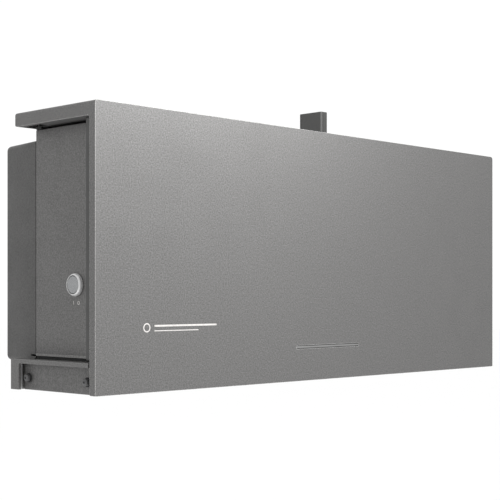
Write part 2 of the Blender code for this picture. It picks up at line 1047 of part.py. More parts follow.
# ---------------------------------------------------------------- power electronics
def make_electronics():
    """Boards and the heavy parts on them, in the space inside the body."""
    board_depth = (0.0925, 0.0945)
    block("power_board", span(0.270), board_depth, (0.066, 0.250), BOARD_GREEN)
    front = board_depth[0] - GAP
    for number in range(3):
        rod(
            f"storage_capacitor_{number + 1}",
            at(-0.055 + number * 0.045, front - 0.0225, 0.222),
            0.0180,
            0.045,
            "y",
            SLEEVE_BLUE,
            sides=18,
        )
    for number, x in enumerate((-0.230, -0.150)):
        choke = block(
            f"boost_choke_{number + 1}",
            (x - 0.034, x + 0.034),
            (front - 0.042, front),
            (0.090, 0.160),
            FERRITE,
        )
        soften(choke, 0.003)
    for number in range(2):
        x = 0.120 + number * 0.034
        block(
            f"grid_relay_{number + 1}",
            (x - 0.0145, x + 0.0145),
            (front - 0.021, front),
            (0.095, 0.120),
            BLACK_PLASTIC,
        )
    transformer = block(
        "isolating_transformer", (-0.075, -0.005), (front - 0.040, front), (0.110, 0.175), FERRITE
    )
    winding = block(
        "transformer_winding", (-0.063, -0.017), (front - 0.047, front - 0.003), (0.119, 0.166)
    )
    weld_on(transformer, soften(winding, 0.006))
    filter_choke = block(
        "grid_filter_choke", (0.020, 0.085), (front - 0.045, front), (0.090, 0.160), FERRITE
    )
    soften(filter_choke, 0.003)
    for number in range(2):
        x = -0.190 + number * 0.190
        block(
            f"power_module_{number + 1}",
            (x - 0.040, x + 0.040),
            (board_depth[1] + GAP, BODY_BACK - WALL - GAP),
            (0.180, 0.225),
            DARK_PLASTIC,
        )
    block("terminal_block", (0.030, 0.130), (front - 0.022, front), (0.069, 0.086), BLACK_PLASTIC)
    control = block("control_board", (0.110, 0.262), (0.0430, 0.0446), (0.130, 0.245), BOARD_GREEN)
    post_start = 0.0440
    for x in (0.117, 0.255):
        for height in (0.137, 0.238):
            post = rod(
                f"board_post_{x:.3f}_{height:.3f}",
                at(x, (post_start + front) / 2, height),
                0.0032,
                front - post_start,
                "y",
                sides=6,
            )
            weld_on(control, post)


# ---------------------------------------------------------------- assembly
make_front_cover()
make_cap_tray()
make_carrier_frame()
make_light_bar()
make_body()
make_top_seal()
make_button()
make_isolator()
make_heat_sink()
make_rear_housing()
make_wall_fixings()
make_inlets()
make_base_bracket("left", -1)
make_base_bracket("right", 1)
make_cross_bar()
make_communication_stick()
make_electronics()
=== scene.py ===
"""The inverter unit of a wall battery system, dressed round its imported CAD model."""

import math

import bmesh
import bpy
import numpy as np
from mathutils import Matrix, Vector


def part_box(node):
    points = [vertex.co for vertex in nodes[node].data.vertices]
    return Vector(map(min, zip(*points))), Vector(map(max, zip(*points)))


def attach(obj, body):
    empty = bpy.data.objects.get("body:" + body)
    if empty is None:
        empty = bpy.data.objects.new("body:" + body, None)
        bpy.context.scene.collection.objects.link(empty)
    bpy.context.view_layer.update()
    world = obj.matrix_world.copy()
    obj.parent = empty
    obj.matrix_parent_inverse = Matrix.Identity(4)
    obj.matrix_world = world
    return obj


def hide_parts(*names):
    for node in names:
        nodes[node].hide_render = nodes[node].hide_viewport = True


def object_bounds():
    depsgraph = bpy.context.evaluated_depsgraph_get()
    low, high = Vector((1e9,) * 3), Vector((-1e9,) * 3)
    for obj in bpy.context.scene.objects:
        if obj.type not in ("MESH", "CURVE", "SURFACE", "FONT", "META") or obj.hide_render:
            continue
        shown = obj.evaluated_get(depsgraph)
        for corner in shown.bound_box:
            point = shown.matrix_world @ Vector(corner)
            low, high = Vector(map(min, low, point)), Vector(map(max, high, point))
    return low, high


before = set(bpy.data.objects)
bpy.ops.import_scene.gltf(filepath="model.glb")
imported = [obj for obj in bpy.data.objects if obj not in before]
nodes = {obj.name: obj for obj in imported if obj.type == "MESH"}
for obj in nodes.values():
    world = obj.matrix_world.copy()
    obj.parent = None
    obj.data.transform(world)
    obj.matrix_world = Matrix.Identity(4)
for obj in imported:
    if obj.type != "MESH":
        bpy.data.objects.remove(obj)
cad_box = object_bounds()

# ------------------------------------------------------------------ wall bracket
# A 3 mm zinc-plated steel plate that four screws hold to the wall. Its upturned lip is folded
# sheet, welded on, and carries the whole unit.
FRONT, FOOT = cad_box[0][1], cad_box[0][2]
BRACKET_HEIGHT = 0.190
WALL_DEPTH = 0.183


def at(across, depth, height):
    """Points this far across from the middle, behind the front face and above the lower edge."""
    across, depth, height = np.broadcast_arrays(across, depth, height)
    return np.stack((across + 0.0, depth + FRONT, height + FOOT), axis=-1)


def skin(name, points, faces):
    """A closed mesh through these points, with its doubles merged and its faces turned outwards."""
    mesh = bpy.data.meshes.new(name)
    mesh.from_pydata(points.tolist(), [], faces)
    shape = bmesh.new()
    shape.from_mesh(mesh)
    bmesh.ops.remove_doubles(shape, verts=shape.verts, dist=2e-6)
    bmesh.ops.recalc_face_normals(shape, faces=shape.faces)
    shape.to_mesh(mesh)
    shape.free()
    piece = bpy.data.objects.new(name, mesh)
    bpy.context.scene.collection.objects.link(piece)
    return piece


def stacked(name, rings):
    """Skin over closed rings of points, rings[..., station, point]: a quad joins each point to the
    next in its ring and to the same two in the ring after, and flat faces close both ends.
    Leading axes of the array make separate shells."""
    rings = np.asarray(rings, float)
    index = np.arange(rings[..., 0].size).reshape(rings.shape[:-1])
    beside = np.roll(index, -1, axis=-1)
    corners = (index[..., :-1, :], beside[..., :-1, :], beside[..., 1:, :], index[..., 1:, :])
    quads = np.stack(corners, axis=-1).reshape(-1, 4)
    ends = np.concatenate((index[..., 0, :], index[..., -1, :])).reshape(-1, rings.shape[-2])
    return skin(name, rings.reshape(-1, 3), quads.tolist() + ends.tolist())


def rounded_rectangle(low, high, radius, steps=5):
    """Outline of a rectangle with round corners: four quarter circles, centred the radius in from
    each corner, joined by straight lines. The radius is one number or one for each corner, from
    the high-high corner anticlockwise."""
    low, high = np.asarray(low, float), np.asarray(high, float)
    radius = np.broadcast_to(radius, 4)[:, None]
    turn = np.linspace(0, np.pi / 2, steps + 1) + np.arange(4)[:, None] * np.pi / 2
    quadrant = np.array([(1, 1), (-1, 1), (-1, -1), (1, -1)])
    centre = (low + high) / 2 + quadrant * ((high - low) / 2 - radius)
    arcs = centre[:, None] + radius[:, None] * np.stack((np.cos(turn), np.sin(turn)), axis=-1)
    return arcs.reshape(-1, 2)


def carried(name, outline, stations, along):
    """Prism: the outline's two measures repeated at each station of the third, the one along."""
    outline = np.asarray(outline, float)
    first, second = outline[..., 0][..., None, :], outline[..., 1][..., None, :]
    third = np.asarray(stations, float)[:, None]
    measures = {
        "across": (third, first, second),
        "depth": (first, third, second),
        "height": (first, second, third),
    }
    return stacked(name, at(*measures[along]))


def about(middle, half):
    """A range this far to each side of its middle."""
    return middle - half, middle + half


def slab(name, across, depth, height, radius=0.0001, along="depth", steps=4):
    """A plate between two values of each measure, rounded at the corners of its outline."""
    spans = {"across": across, "depth": depth, "height": height}
    stations = spans.pop(along)
    first, second = spans.values()
    outline = rounded_rectangle((first[0], second[0]), (first[1], second[1]), radius, steps)
    return carried(name, outline, stations, along)


def circle(radius, sides=24):
    """Points evenly round a circle about zero, or round an oval if there are two radii."""
    turn = np.linspace(0, 2 * np.pi, sides, endpoint=False)
    return np.asarray(radius) * np.stack((np.cos(turn), np.sin(turn)), axis=-1)


def copies(outline, first, second):
    """The same outline at each of these places, as separate shells."""
    return outline + np.stack(np.broadcast_arrays(first, second), axis=-1)[:, None]


def settle(piece):
    """Works the modifiers out into the mesh."""
    graph = bpy.context.evaluated_depsgraph_get()
    finished = bpy.data.meshes.new_from_object(piece.evaluated_get(graph))
    piece.modifiers.clear()
    piece.data = finished
    return piece


def combine(piece, operation, *tools):
    """Booleans the tools into the piece one after another, then removes them."""
    for tool in tools:
        step = piece.modifiers.new(tool.name, "BOOLEAN")
        step.operation = operation
        step.object = tool
        step.solver = "EXACT"
    settle(piece)
    for tool in tools:
        bpy.data.objects.remove(tool)
    return piece


def ease(piece, width, segments=2, angle=30):
    """Rounds every edge sharper than the angle, as folding, casting or deburring leaves it."""
    piece.data.shade_smooth()
    bevel = piece.modifiers.new("eased_edges", "BEVEL")
    bevel.width = width
    bevel.segments = segments
    bevel.limit_method = "ANGLE"
    bevel.angle_limit = math.radians(angle)
    bevel.harden_normals = True
    return settle(piece)


def shade(piece, angle):
    """Smooth shading, with the edges sharper than this many degrees left crisp."""
    piece.data.shade_smooth()
    piece.data.set_sharp_from_angle(angle=math.radians(angle))
    return piece


def turned(name, profile, centre, axis, sides=40, ring=False, hexed=(), ribs=(), rib_count=24):
    """A profile of (radius, distance) turned about an axis: each point is the centre, plus the
    distance along the axis, plus the radius times (cosine, sine) across it. A ring's profile
    closes on itself; another starts and ends on the axis. On the hexed points the radius is
    divided by the cosine of the angle from the nearest flat; ribs swell it by a cosine wave."""
    profile = np.asarray(profile, float)
    axis = np.asarray(axis, float)
    side = np.cross((0, 0, 1) if abs(axis[2]) < 0.5 else (1, 0, 0), axis)
    up = np.cross(axis, side)
    angle = np.linspace(0, 2 * np.pi, sides, endpoint=False)
    radius = np.repeat(profile[:, :1], sides, axis=1)
    hexed = np.asarray(hexed or np.zeros(len(profile)), bool)
    from_flat = (angle + np.pi / 6) % (np.pi / 3) - np.pi / 6
    radius[hexed] *= 1 / np.cos(from_flat)
    radius *= 1 + np.asarray(ribs or np.zeros(len(profile)))[:, None] * np.cos(rib_count * angle)
    outwards = np.cos(angle)[:, None] * side + np.sin(angle)[:, None] * up
    points = np.asarray(centre) + profile[:, 1, None, None] * axis + radius[..., None] * outwards
    index = np.arange(len(profile) * sides).reshape(-1, sides)
    rows = np.vstack((index, index[:1])) if ring else index
    beside = np.roll(rows, -1, axis=1)
    quads = np.stack((rows[:-1], beside[:-1], beside[1:], rows[1:]), axis=-1).reshape(-1, 4)
    return shade(skin(name, points.reshape(-1, 3), quads.tolist()), 35)


def joined(name, *shells):
    """Several closed shells as one piece."""
    shape = bmesh.new()
    for shell in shells:
        shape.from_mesh(shell.data)
        bpy.data.objects.remove(shell)
    mesh = bpy.data.meshes.new(name)
    shape.to_mesh(mesh)
    shape.free()
    piece = bpy.data.objects.new(name, mesh)
    bpy.context.scene.collection.objects.link(piece)
    return piece


def add_node(material, kind, **sockets):
    """A shader node of this kind, with these input values."""
    node = material.node_tree.nodes.new("ShaderNode" + kind)
    for name, value in sockets.items():
        node.inputs[name.replace("_", " ")].default_value = value
    return node


def wire(material, start, start_socket, end, end_socket):
    """Joins one node's output to another's input."""
    material.node_tree.links.new(start.outputs[start_socket], end.inputs[end_socket])


def new_finish(name, colour, roughness, metallic=0.0, **sockets):
    """A Principled finish whose uniform values sit on the shader's own sockets."""
    material = bpy.data.materials.new(name)
    material.use_nodes = True
    shader = material.node_tree.nodes["Principled BSDF"]
    shader.name = "shader"
    shader.inputs["Base Color"].default_value = (*colour, 1.0)
    shader.inputs["Roughness"].default_value = roughness
    shader.inputs["Metallic"].default_value = metallic
    for socket, value in sockets.items():
        shader.inputs[socket.replace("_", " ")].default_value = value
    return material


def place_on_piece(material, stretch=(1, 1, 1)):
    """Object coordinates, stretched along the piece's own axes."""
    where = add_node(material, "TexCoord")
    mapping = add_node(material, "Mapping", Scale=stretch)
    wire(material, where, "Object", mapping, "Vector")
    return mapping


def clouded(material, scale, detail=3.0, stretch=(1, 1, 1), kind="TexNoise"):
    """A noise of this many lumps to the metre."""
    noise = add_node(material, kind, Scale=scale)
    if kind == "TexNoise":
        noise.inputs["Detail"].default_value = detail
    wire(material, place_on_piece(material, stretch), "Vector", noise, "Vector")
    return noise


def vary_colour(material, noise, dark, light, low=0.3, high=0.7, output=0):
    """Base colour that runs from dark to light with a noise."""
    ramp = add_node(material, "ValToRGB")
    ramp.color_ramp.elements[0].position = low
    ramp.color_ramp.elements[0].color = (*dark, 1)
    ramp.color_ramp.elements[1].position = high
    ramp.color_ramp.elements[1].color = (*light, 1)
    wire(material, noise, output, ramp, "Fac")
    wire(material, ramp, "Color", material.node_tree.nodes["shader"], "Base Color")
    return ramp


def spread(material, source, output, start, end):
    """Carries the values between start[0] and start[1] over to end[0] and end[1]."""
    limits = {"From Min": start[0], "From Max": start[1], "To Min": end[0], "To Max": end[1]}
    scale = add_node(material, "MapRange", **limits)
    wire(material, source, output, scale, "Value")
    return scale


def vary_roughness(material, noise, low, high, output=0):
    """Roughness between two values, driven by a noise."""
    rough = spread(material, noise, output, (0.3, 0.7), (low, high))
    wire(material, rough, "Result", material.node_tree.nodes["shader"], "Roughness")


def raise_grain(material, noise, depth, strength=1.0, output=0):
    """Bump of this depth in metres, added on top of any bump that is there."""
    bump = add_node(material, "Bump", Strength=strength, Distance=depth)
    shader = material.node_tree.nodes["shader"]
    earlier = shader.inputs["Normal"].links
    if earlier:
        material.node_tree.links.new(earlier[0].from_socket, bump.inputs["Normal"])
    wire(material, noise, output, bump, "Height")
    wire(material, bump, "Normal", shader, "Normal")


def wear_and_highlight_edges(material, ramp, colour, radius, amount):
    """Mixes a lighter colour in where the surface turns: the rounded normal is compared with the true one, so
    it shows on edges, partly as the coat thins there and partly as a painted highlight."""
    rounded = add_node(material, "Bevel", Radius=radius)
    rounded.samples = 4
    shape = add_node(material, "NewGeometry")
    turn = add_node(material, "VectorMath")
    turn.operation = "DOT_PRODUCT"
    wire(material, rounded, "Normal", turn, 0)
    wire(material, shape, "Normal", turn, 1)
    wear_and_highlight_mask = spread(material, turn, "Value", (0.97, 0.80), (0.0, amount))
    wear_and_highlight = add_node(material, "Mix")
    wear_and_highlight.data_type = "RGBA"
    wear_and_highlight.inputs[7].default_value = (*colour, 1)
    wire(material, wear_and_highlight_mask, "Result", wear_and_highlight, 0)
    wire(material, ramp, "Color", wear_and_highlight, 6)
    wire(material, wear_and_highlight, 2, material.node_tree.nodes["shader"], "Base Color")


def tint(colour, factor):
    """The colour made darker or lighter."""
    return tuple(channel * factor for channel in colour)


def plated_steel(name, colour):
    """Zinc plate: crystal spangles a few millimetres wide under fine rolling lines."""
    material = new_finish(name, colour, 0.38, 0.9)
    spangle = clouded(material, 160, kind="TexVoronoi")
    ramp = vary_colour(material, spangle, tint(colour, 0.8), tint(colour, 1.15), 0.0, 1.0, "Color")
    lines = clouded(material, 60, 6, stretch=(1, 30, 30))
    vary_roughness(material, lines, 0.3, 0.5)
    raise_grain(material, lines, 0.00004)
    # Lighter edges, partly wear and partly a painted highlight.
    wear_and_highlight_edges(material, ramp, tint(colour, 1.4), 0.0006, 0.5)
    return material


def dress(piece, material, body=None, stands_for=()):
    """Gives a piece its finish, the body that it rides on and the CAD nodes that it stands for."""
    piece.data.materials.clear()
    piece.data.materials.append(material)
    if body:
        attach(piece, body)
    if stands_for:
        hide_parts(*stands_for)
    return piece


zinc = plated_steel("zinc_plate", (0.42, 0.42, 0.41))

plate_depth = (WALL_DEPTH - 0.003, WALL_DEPTH)
wall_plate = slab("wall_plate", about(0, 0.200), plate_depth, about(BRACKET_HEIGHT, 0.035), 0.005, steps=5)
hook_turn = np.radians(np.linspace(180, 270, 7))
hook_outer = np.stack((np.cos(hook_turn), np.sin(hook_turn)), axis=-1)
hook_corner = np.array((WALL_DEPTH - 0.0065, BRACKET_HEIGHT + 0.009))
hook_lip = [
    (WALL_DEPTH - 0.0070, BRACKET_HEIGHT + 0.0217),
    (WALL_DEPTH - 0.0095, BRACKET_HEIGHT + 0.0217),
    *(hook_corner + 0.003 * hook_outer),
    (WALL_DEPTH - 0.0010, BRACKET_HEIGHT + 0.0060),
    (WALL_DEPTH - 0.0010, BRACKET_HEIGHT + 0.0085),
    *(hook_corner + 0.0005 * hook_outer)[::-1],
]
wall_screws = copies(circle(0.0045), (-0.150, -0.075, 0.075, 0.150), BRACKET_HEIGHT - 0.020)
holes = carried("screw_holes", wall_screws, about(WALL_DEPTH, 0.010), "depth")
combine(wall_plate, "UNION", carried("hook_lip", hook_lip, about(0, 0.180), "across"))
combine(wall_plate, "DIFFERENCE", holes)
dress(ease(wall_plate, 0.0005), zinc, "unit", ["wall_bracket"])

# ------------------------------------------------------------------ hanging rail
# A folded strip of the same plated steel on the unit's back, with a tongue that drops behind the
# bracket's lip. Six pan-head screws hold it to the rear housing.
RECESS_FLOOR = 0.166
RAIL_FRONT = RECESS_FLOOR + 0.003
rail_height = (BRACKET_HEIGHT - 0.005, BRACKET_HEIGHT + 0.042)
rail = slab("rail_strip", about(0, 0.190), (RECESS_FLOOR + 0.0003, RAIL_FRONT), rail_height, 0.003, steps=5)
rail_corner = np.array((WALL_DEPTH - 0.0065, BRACKET_HEIGHT + 0.0215))
rail_tongue = [
    (RECESS_FLOOR + 0.001, BRACKET_HEIGHT + 0.0220),
    *(rail_corner - 0.0005 * hook_outer)[::-1],
    (WALL_DEPTH - 0.0062, BRACKET_HEIGHT + 0.0095),
    (WALL_DEPTH - 0.0035, BRACKET_HEIGHT + 0.0095),
    *(rail_corner - 0.003 * hook_outer),
    (RECESS_FLOOR + 0.001, BRACKET_HEIGHT + 0.0245),
]
combine(rail, "UNION", carried("rail_tongue", rail_tongue, about(0, 0.175), "across"))
dress(ease(rail, 0.0004), zinc, "unit", ["hanging_rail"])


def screw_head(name, centre, axis, radius, height, socket=0.45):
    """Round-topped head with a hexagon socket, turned in one profile: out over the socket's floor,
    up its wall, over the crown and down the side."""
    rise = np.radians(np.linspace(70, 0, 5))
    crown = np.stack((radius * np.sin(np.pi / 2 - rise), 0.72 * height + 0.28 * height * np.sin(rise)), -1)
    well = socket * radius
    profile = [(0, 0.35 * height), (well, 0.35 * height), (well, height), *crown[1:], (radius, 0), (0, 0)]
    hexed = [False, True, True] + [False] * (len(profile) - 3)
    return turned(name, profile, centre, axis, 36, hexed=hexed)


def milled_metal(name, colour, lines=(1, 1, 40), roughness=(0.28, 0.45)):
    """Bare metal with fine tool or die lines along one axis."""
    material = new_finish(name, colour, roughness[0], 1.0)
    streaks = clouded(material, 50, 5, stretch=lines)
    ramp = vary_colour(material, streaks, tint(colour, 0.85), tint(colour, 1.1))
    vary_roughness(material, streaks, *roughness)
    raise_grain(material, streaks, 0.00003, 0.6)
    # Lighter edges, partly wear and partly a painted highlight.
    wear_and_highlight_edges(material, ramp, tint(colour, 1.3), 0.0004, 0.4)
    return material


black_plate = milled_metal("black_zinc", (0.035, 0.035, 0.037), (20, 20, 20), (0.3, 0.45))
rail_screws = [
    screw_head("rail_screw", at(x, RAIL_FRONT, BRACKET_HEIGHT + 0.0345), (0, 1, 0), 0.0040, 0.0022)
    for x in (-0.165, -0.100, -0.035, 0.035, 0.100, 0.165)
]
dress(joined("rail_screws", *rail_screws), black_plate, "unit")

# ------------------------------------------------------------------ rear housing
# A drawn shroud round the heat sink, leaning in towards the wall, with rounded rear edges and slots above and
# below the fins. It has the body's powder coat, painted darker as painted shade.
HALF = cad_box[1][0]
BODY_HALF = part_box("body_housing")[1][0]
BODY_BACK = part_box("rear_housing")[0][1] - FRONT
REAR_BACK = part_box("rear_housing")[1][1] - FRONT
REAR_BOTTOM, REAR_TOP, SHROUD_TOP = 0.0275, 0.2548, 0.2543
REAR_DRAFT, REAR_RADIUS, REAR_WALL = 0.0077, 0.005, 0.0025
STICK_X = 0.145


def shroud_rings(depths, inset, corner, grow):
    """Rounded rectangles at these depths: the sides lean in by the draft over the whole depth, less
    an inset for each ring, and the corner radius grows to the rear."""
    part = (depths - BODY_BACK) / (REAR_BACK - BODY_BACK)
    rings = []
    for depth, t, i in zip(depths, part, inset):
        low = (-BODY_HALF + REAR_DRAFT * t + i, REAR_BOTTOM + i)
        high = (BODY_HALF - REAR_DRAFT * t - i, SHROUD_TOP - i)
        outline = rounded_rectangle(low, high, max(corner + grow * t - i, 0.0004), 8)
        rings.append(at(outline[:, 0], depth, outline[:, 1]))
    return rings


bend = np.radians(np.linspace(0, 90, 9))
seam = np.array((0.0, 0.0010, 0.0010, 0.0014))
outer_depths = np.concatenate((BODY_BACK + seam, REAR_BACK - REAR_RADIUS + REAR_RADIUS * np.sin(bend)))
outer_inset = np.concatenate(([0.0016, 0.0016, 0.0004, 0.0], REAR_RADIUS * (1 - np.cos(bend))))
inner_depths = np.array((REAR_BACK - REAR_WALL, REAR_BACK - REAR_WALL - 0.004, BODY_BACK))
inner_inset = np.array((REAR_WALL + 0.004, REAR_WALL, REAR_WALL))
shroud = stacked(
    "rear_shroud",
    shroud_rings(inner_depths, inner_inset, 0.0040, 0.0020)
    + shroud_rings(outer_depths, outer_inset, 0.0022, 0.0035),
)
recess_low, recess_high = (-0.215, BRACKET_HEIGHT - 0.050), (0.215, BRACKET_HEIGHT + 0.050)
recess_floor = carried(
    "recess_floor",
    rounded_rectangle(np.add(recess_low, -0.0025), np.add(recess_high, 0.0025), 0.0065),
    (RECESS_FLOOR - 0.0025, REAR_BACK - 0.001),
    "depth",
)
combine(shroud, "UNION", recess_floor)
recess_outline = rounded_rectangle(recess_low, recess_high, 0.004)
recess = carried("recess", recess_outline, (RECESS_FLOOR, REAR_BACK + 0.01), "depth")
step_depth, step_height = (BODY_BACK - 0.010, BODY_BACK + 0.0032), (REAR_BOTTOM - 0.004, 0.0319)
step = slab("step", about(0, HALF), step_depth, step_height, 0.0002, "across", 2)
slot_depth = (BODY_BACK - 0.010, BODY_BACK + 0.0104)
seal_slot = slab("seal_slot", about(0, HALF), slot_depth, (0.0335, 0.0356), 0.00104, "across", 5)
slot_x = np.linspace(-0.258, 0.258, 44)
slot_x = slot_x[abs(slot_x - STICK_X) > 0.016]
slot = rounded_rectangle((-0.0030, 0.128), (0.0030, 0.160), 0.0030, 4)
slots = carried("vent_slots", copies(slot, slot_x, 0.0), (REAR_BOTTOM - 0.02, REAR_TOP + 0.02), "height")
hole_across, hole_height = about(STICK_X, 0.0048), about(REAR_TOP, 0.02)
socket_hole = slab("socket_hole", hole_across, (0.1409, 0.1581), hole_height, 0.001, "height", 5)
combine(shroud, "DIFFERENCE", recess, step, seal_slot, slots, socket_hole)
shade(shroud, 25)


def powder_coat(name, colour, grain=0.00012, edge=0.35, wear_and_highlight=1.9, contrast=0.42):
    """Fine-textured powder coat: close lumps, faint flow, and lighter edges, partly where the coat runs thin
    and partly a painted highlight.
    """
    material = new_finish(name, colour, 0.5, 0.35, Specular_IOR_Level=0.5)
    lumps = clouded(material, 700, 2)
    ramp = vary_colour(material, lumps, tint(colour, 1 - contrast), tint(colour, 1 + contrast), 0.25, 0.75)
    vary_roughness(material, clouded(material, 25, 4), 0.45, 0.56)
    raise_grain(material, lumps, grain, 0.55)
    raise_grain(material, clouded(material, 240, 2), grain * 1.2, 0.25)
    wear_and_highlight_edges(material, ramp, tint(colour, wear_and_highlight), 0.0008, edge)
    return material


# The body's coat at about half the colour: painted shade.
rear_shaded_coat = powder_coat("rear_shaded_coat", (0.0605, 0.0594, 0.0584), contrast=0.4)
dress(shroud, rear_shaded_coat, "unit", ["rear_housing"])

# ------------------------------------------------------------------ heat sink
# Extruded aluminium, bare, bolted to the body's back wall with its fins upright. Each fin is
# thicker at its root and round at its tip.
SINK_HALF = 0.270
FIN_COUNT = 47
fin_x = np.linspace(-SINK_HALF + 0.0014, SINK_HALF - 0.0014, FIN_COUNT)[:, None]
fin_offsets = np.array((-0.0014, -0.0008, -0.0004, 0.0004, 0.0008, 0.0014))
fin_depths = np.array((0.1243, 0.1592, 0.1600, 0.1600, 0.1592, 0.1243))
comb = np.stack(np.broadcast_arrays(fin_x + fin_offsets, fin_depths), axis=-1).reshape(-1, 2)
comb = np.vstack((comb, [(SINK_HALF, 0.1163), (-SINK_HALF, 0.1163)]))
extruded = milled_metal("extruded_aluminium", (0.5, 0.5, 0.51), (30, 30, 1))
fins = carried("fin_stack", comb, (0.045, 0.242), "height")
dress(fins, extruded, "unit", ["heat_sink"])

# ------------------------------------------------------------------ body
# A die-cast tub that holds the electronics, open to the front and closed by the lid, with a boss
# inside for each lid screw and holes for the button, the isolator and the inlets.
BODY_BOTTOM, BODY_TOP = 0.0344, 0.2648
BODY_WALL = 0.003
INLET_DEPTH = 0.080
LID_SCREWS = [(x, height) for height in (BODY_BOTTOM + 0.010, BODY_TOP - 0.010) for x in (-0.300, 0.0, 0.300)]
TUB_FRONT, TUB_BACK = 0.030, 0.116
tub = slab("cast_tub", about(0, BODY_HALF), (TUB_FRONT, TUB_BACK), (BODY_BOTTOM, BODY_TOP), 0.0009, steps=5)
hollow_across = about(0, BODY_HALF - BODY_WALL)
hollow_depth, hollow_height = (0.020, TUB_BACK - BODY_WALL), (BODY_BOTTOM + BODY_WALL, BODY_TOP - BODY_WALL)
combine(tub, "DIFFERENCE", slab("tub_hollow", hollow_across, hollow_depth, hollow_height, 0.002, steps=5))
boss_outlines = circle(0.0076) + np.array(LID_SCREWS)[:, None]
combine(tub, "UNION", carried("lid_bosses", boss_outlines, (0.0302, 0.055), "depth"))


def middle(node):
    """Depth and height of a node's middle."""
    low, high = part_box(node)
    return (low[1] + high[1]) / 2 - FRONT, (low[2] + high[2]) / 2 - FOOT


BUTTON_DEPTH, BUTTON_HEIGHT = middle("button_bezel")
KNOB_DEPTH, KNOB_HEIGHT = middle("isolator_knob")
left_wall, right_wall = (-BODY_HALF - 0.01, -BODY_HALF + 0.01), about(BODY_HALF, 0.01)
button_hole = carried("button_hole", circle(0.0096) + (BUTTON_DEPTH, BUTTON_HEIGHT), left_wall, "across")
knob_hole = carried("knob_hole", circle(0.0043) + (KNOB_DEPTH, KNOB_HEIGHT), right_wall, "across")
window_depth, window_height = about(INLET_DEPTH, 0.022), about(BODY_BOTTOM, 0.01)
inlet_window = slab("inlet_window", about(0, 0.230), window_depth, window_height, 0.003, "height", 5)
combine(tub, "DIFFERENCE", button_hole, knob_hole, inlet_window)
# Edges tinted 2.6 times lighter: partly worn coat, partly a painted highlight, the light line along the tub's
# edges.
body_coat = powder_coat("body_coat", (0.1146, 0.1129, 0.1112), edge=0.8, wear_and_highlight=2.6)
dress(ease(tub, 0.0007), body_coat, "unit", ["body_housing"])

# A pressed trim strip closes the tub's lower edge on each side, just proud of the wall. Its coat is painted a
# shade lighter than the body's, a painted highlight along that lower edge.
SIDES = (("left", -1), ("right", 1))
trim_highlight_coat = powder_coat("trim_highlight_coat", (0.180, 0.178, 0.176), edge=0.5)
for name, side in SIDES:
    trim_span = sorted((side * (BODY_HALF - 0.0012), side * (BODY_HALF + 0.0005)))
    trim_height = (BODY_BOTTOM - 0.0001, BODY_BOTTOM + 0.0022)
    highlight_trim = slab(f"{name}_highlight_trim_strip", trim_span, (0.0312, 0.1157), trim_height, 0.0003, "across", 3)
    dress(highlight_trim, trim_highlight_coat, "unit")

# ------------------------------------------------------------------ electronics
# Two boards with the storage capacitors, potted chokes, transformer, relays, power modules and
# terminal block on them. The lid hides them all.


def moulded(name, colour, roughness=0.45, grain=0.00005):
    """Spark-eroded moulded plastic: close fine grain with a dull sheen."""
    material = new_finish(name, colour, roughness)
    pores = clouded(material, 1100, 2)
    ramp = vary_colour(material, pores, tint(colour, 0.88), tint(colour, 1.12))
    vary_roughness(material, clouded(material, 60, 3), roughness - 0.06, roughness + 0.06)
    raise_grain(material, pores, grain, 0.6)
    # Lighter edges, partly wear and partly a painted highlight.
    wear_and_highlight_edges(material, ramp, tint(colour, 1.8), 0.0005, 0.4)
    return material


def circuit_board(name):
    """Green solder mask over copper tracks, as cells of a square pattern with gold pads."""
    mask = (0.012, 0.085, 0.035)
    material = new_finish(name, mask, 0.3, 0.0, Coat_Weight=0.4)
    tracks = add_node(material, "TexBrick", Scale=60.0)
    tracks.inputs["Color1"].default_value = (*mask, 1)
    tracks.inputs["Color2"].default_value = (*tint(mask, 1.5), 1)
    tracks.inputs["Mortar"].default_value = (*tint(mask, 2.2), 1)
    tracks.inputs["Mortar Size"].default_value = 0.03
    mapping = place_on_piece(material)
    mapping.inputs["Rotation"].default_value = (math.pi / 2, 0, 0)
    wire(material, mapping, "Vector", tracks, "Vector")
    wire(material, tracks, "Color", material.node_tree.nodes["shader"], "Base Color")
    raise_grain(material, tracks, 0.00003, 0.6, "Fac")
    return material


board = circuit_board("solder_mask")
potting = moulded("potting_compound", (0.045, 0.045, 0.05), 0.6, 0.0001)
sleeve = moulded("shrink_sleeve", (0.03, 0.05, 0.14), 0.3, 0.00002)
black_moulding = moulded("black_moulding", (0.018, 0.018, 0.018), 0.42)
dark_moulding = moulded("dark_moulding", (0.041, 0.041, 0.040), 0.5)
for name in ("power_board", "control_board", "light_board"):
    dress(nodes[name], board)
for name in ("isolating_transformer", "grid_filter_choke", "boost_choke_1", "boost_choke_2"):
    dress(nodes[name], potting)
for name in ("grid_relay_1", "grid_relay_2", "terminal_block", "button_switch"):
    dress(nodes[name], black_moulding)
for name in ("power_module_1", "power_module_2", "isolator_switch"):
    dress(nodes[name], dark_moulding)

# Each storage capacitor is an aluminium can in a shrink sleeve, crimped near its board end.
for number in range(1, 4):
    name = f"storage_capacitor_{number}"
    low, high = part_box(name)
    radius, length = (high[0] - low[0]) / 2, high[1] - low[1]
    can_profile = [
        (0, length), (radius * 0.95, length), (radius, length - 0.0007), (radius, 0.0065),
        (radius * 0.94, 0.0055), (radius * 0.94, 0.0045), (radius, 0.0035), (radius, 0.0007),
        (radius * 0.96, 0), (radius * 0.88, 0), (radius * 0.85, 0.0006), (0, 0.0006),
    ]
    base = ((low[0] + high[0]) / 2, low[1], (low[2] + high[2]) / 2)
    can = turned(f"sleeved_can_{number}", can_profile, base, (0, 1, 0))
    dress(can, sleeve, "unit", [name])

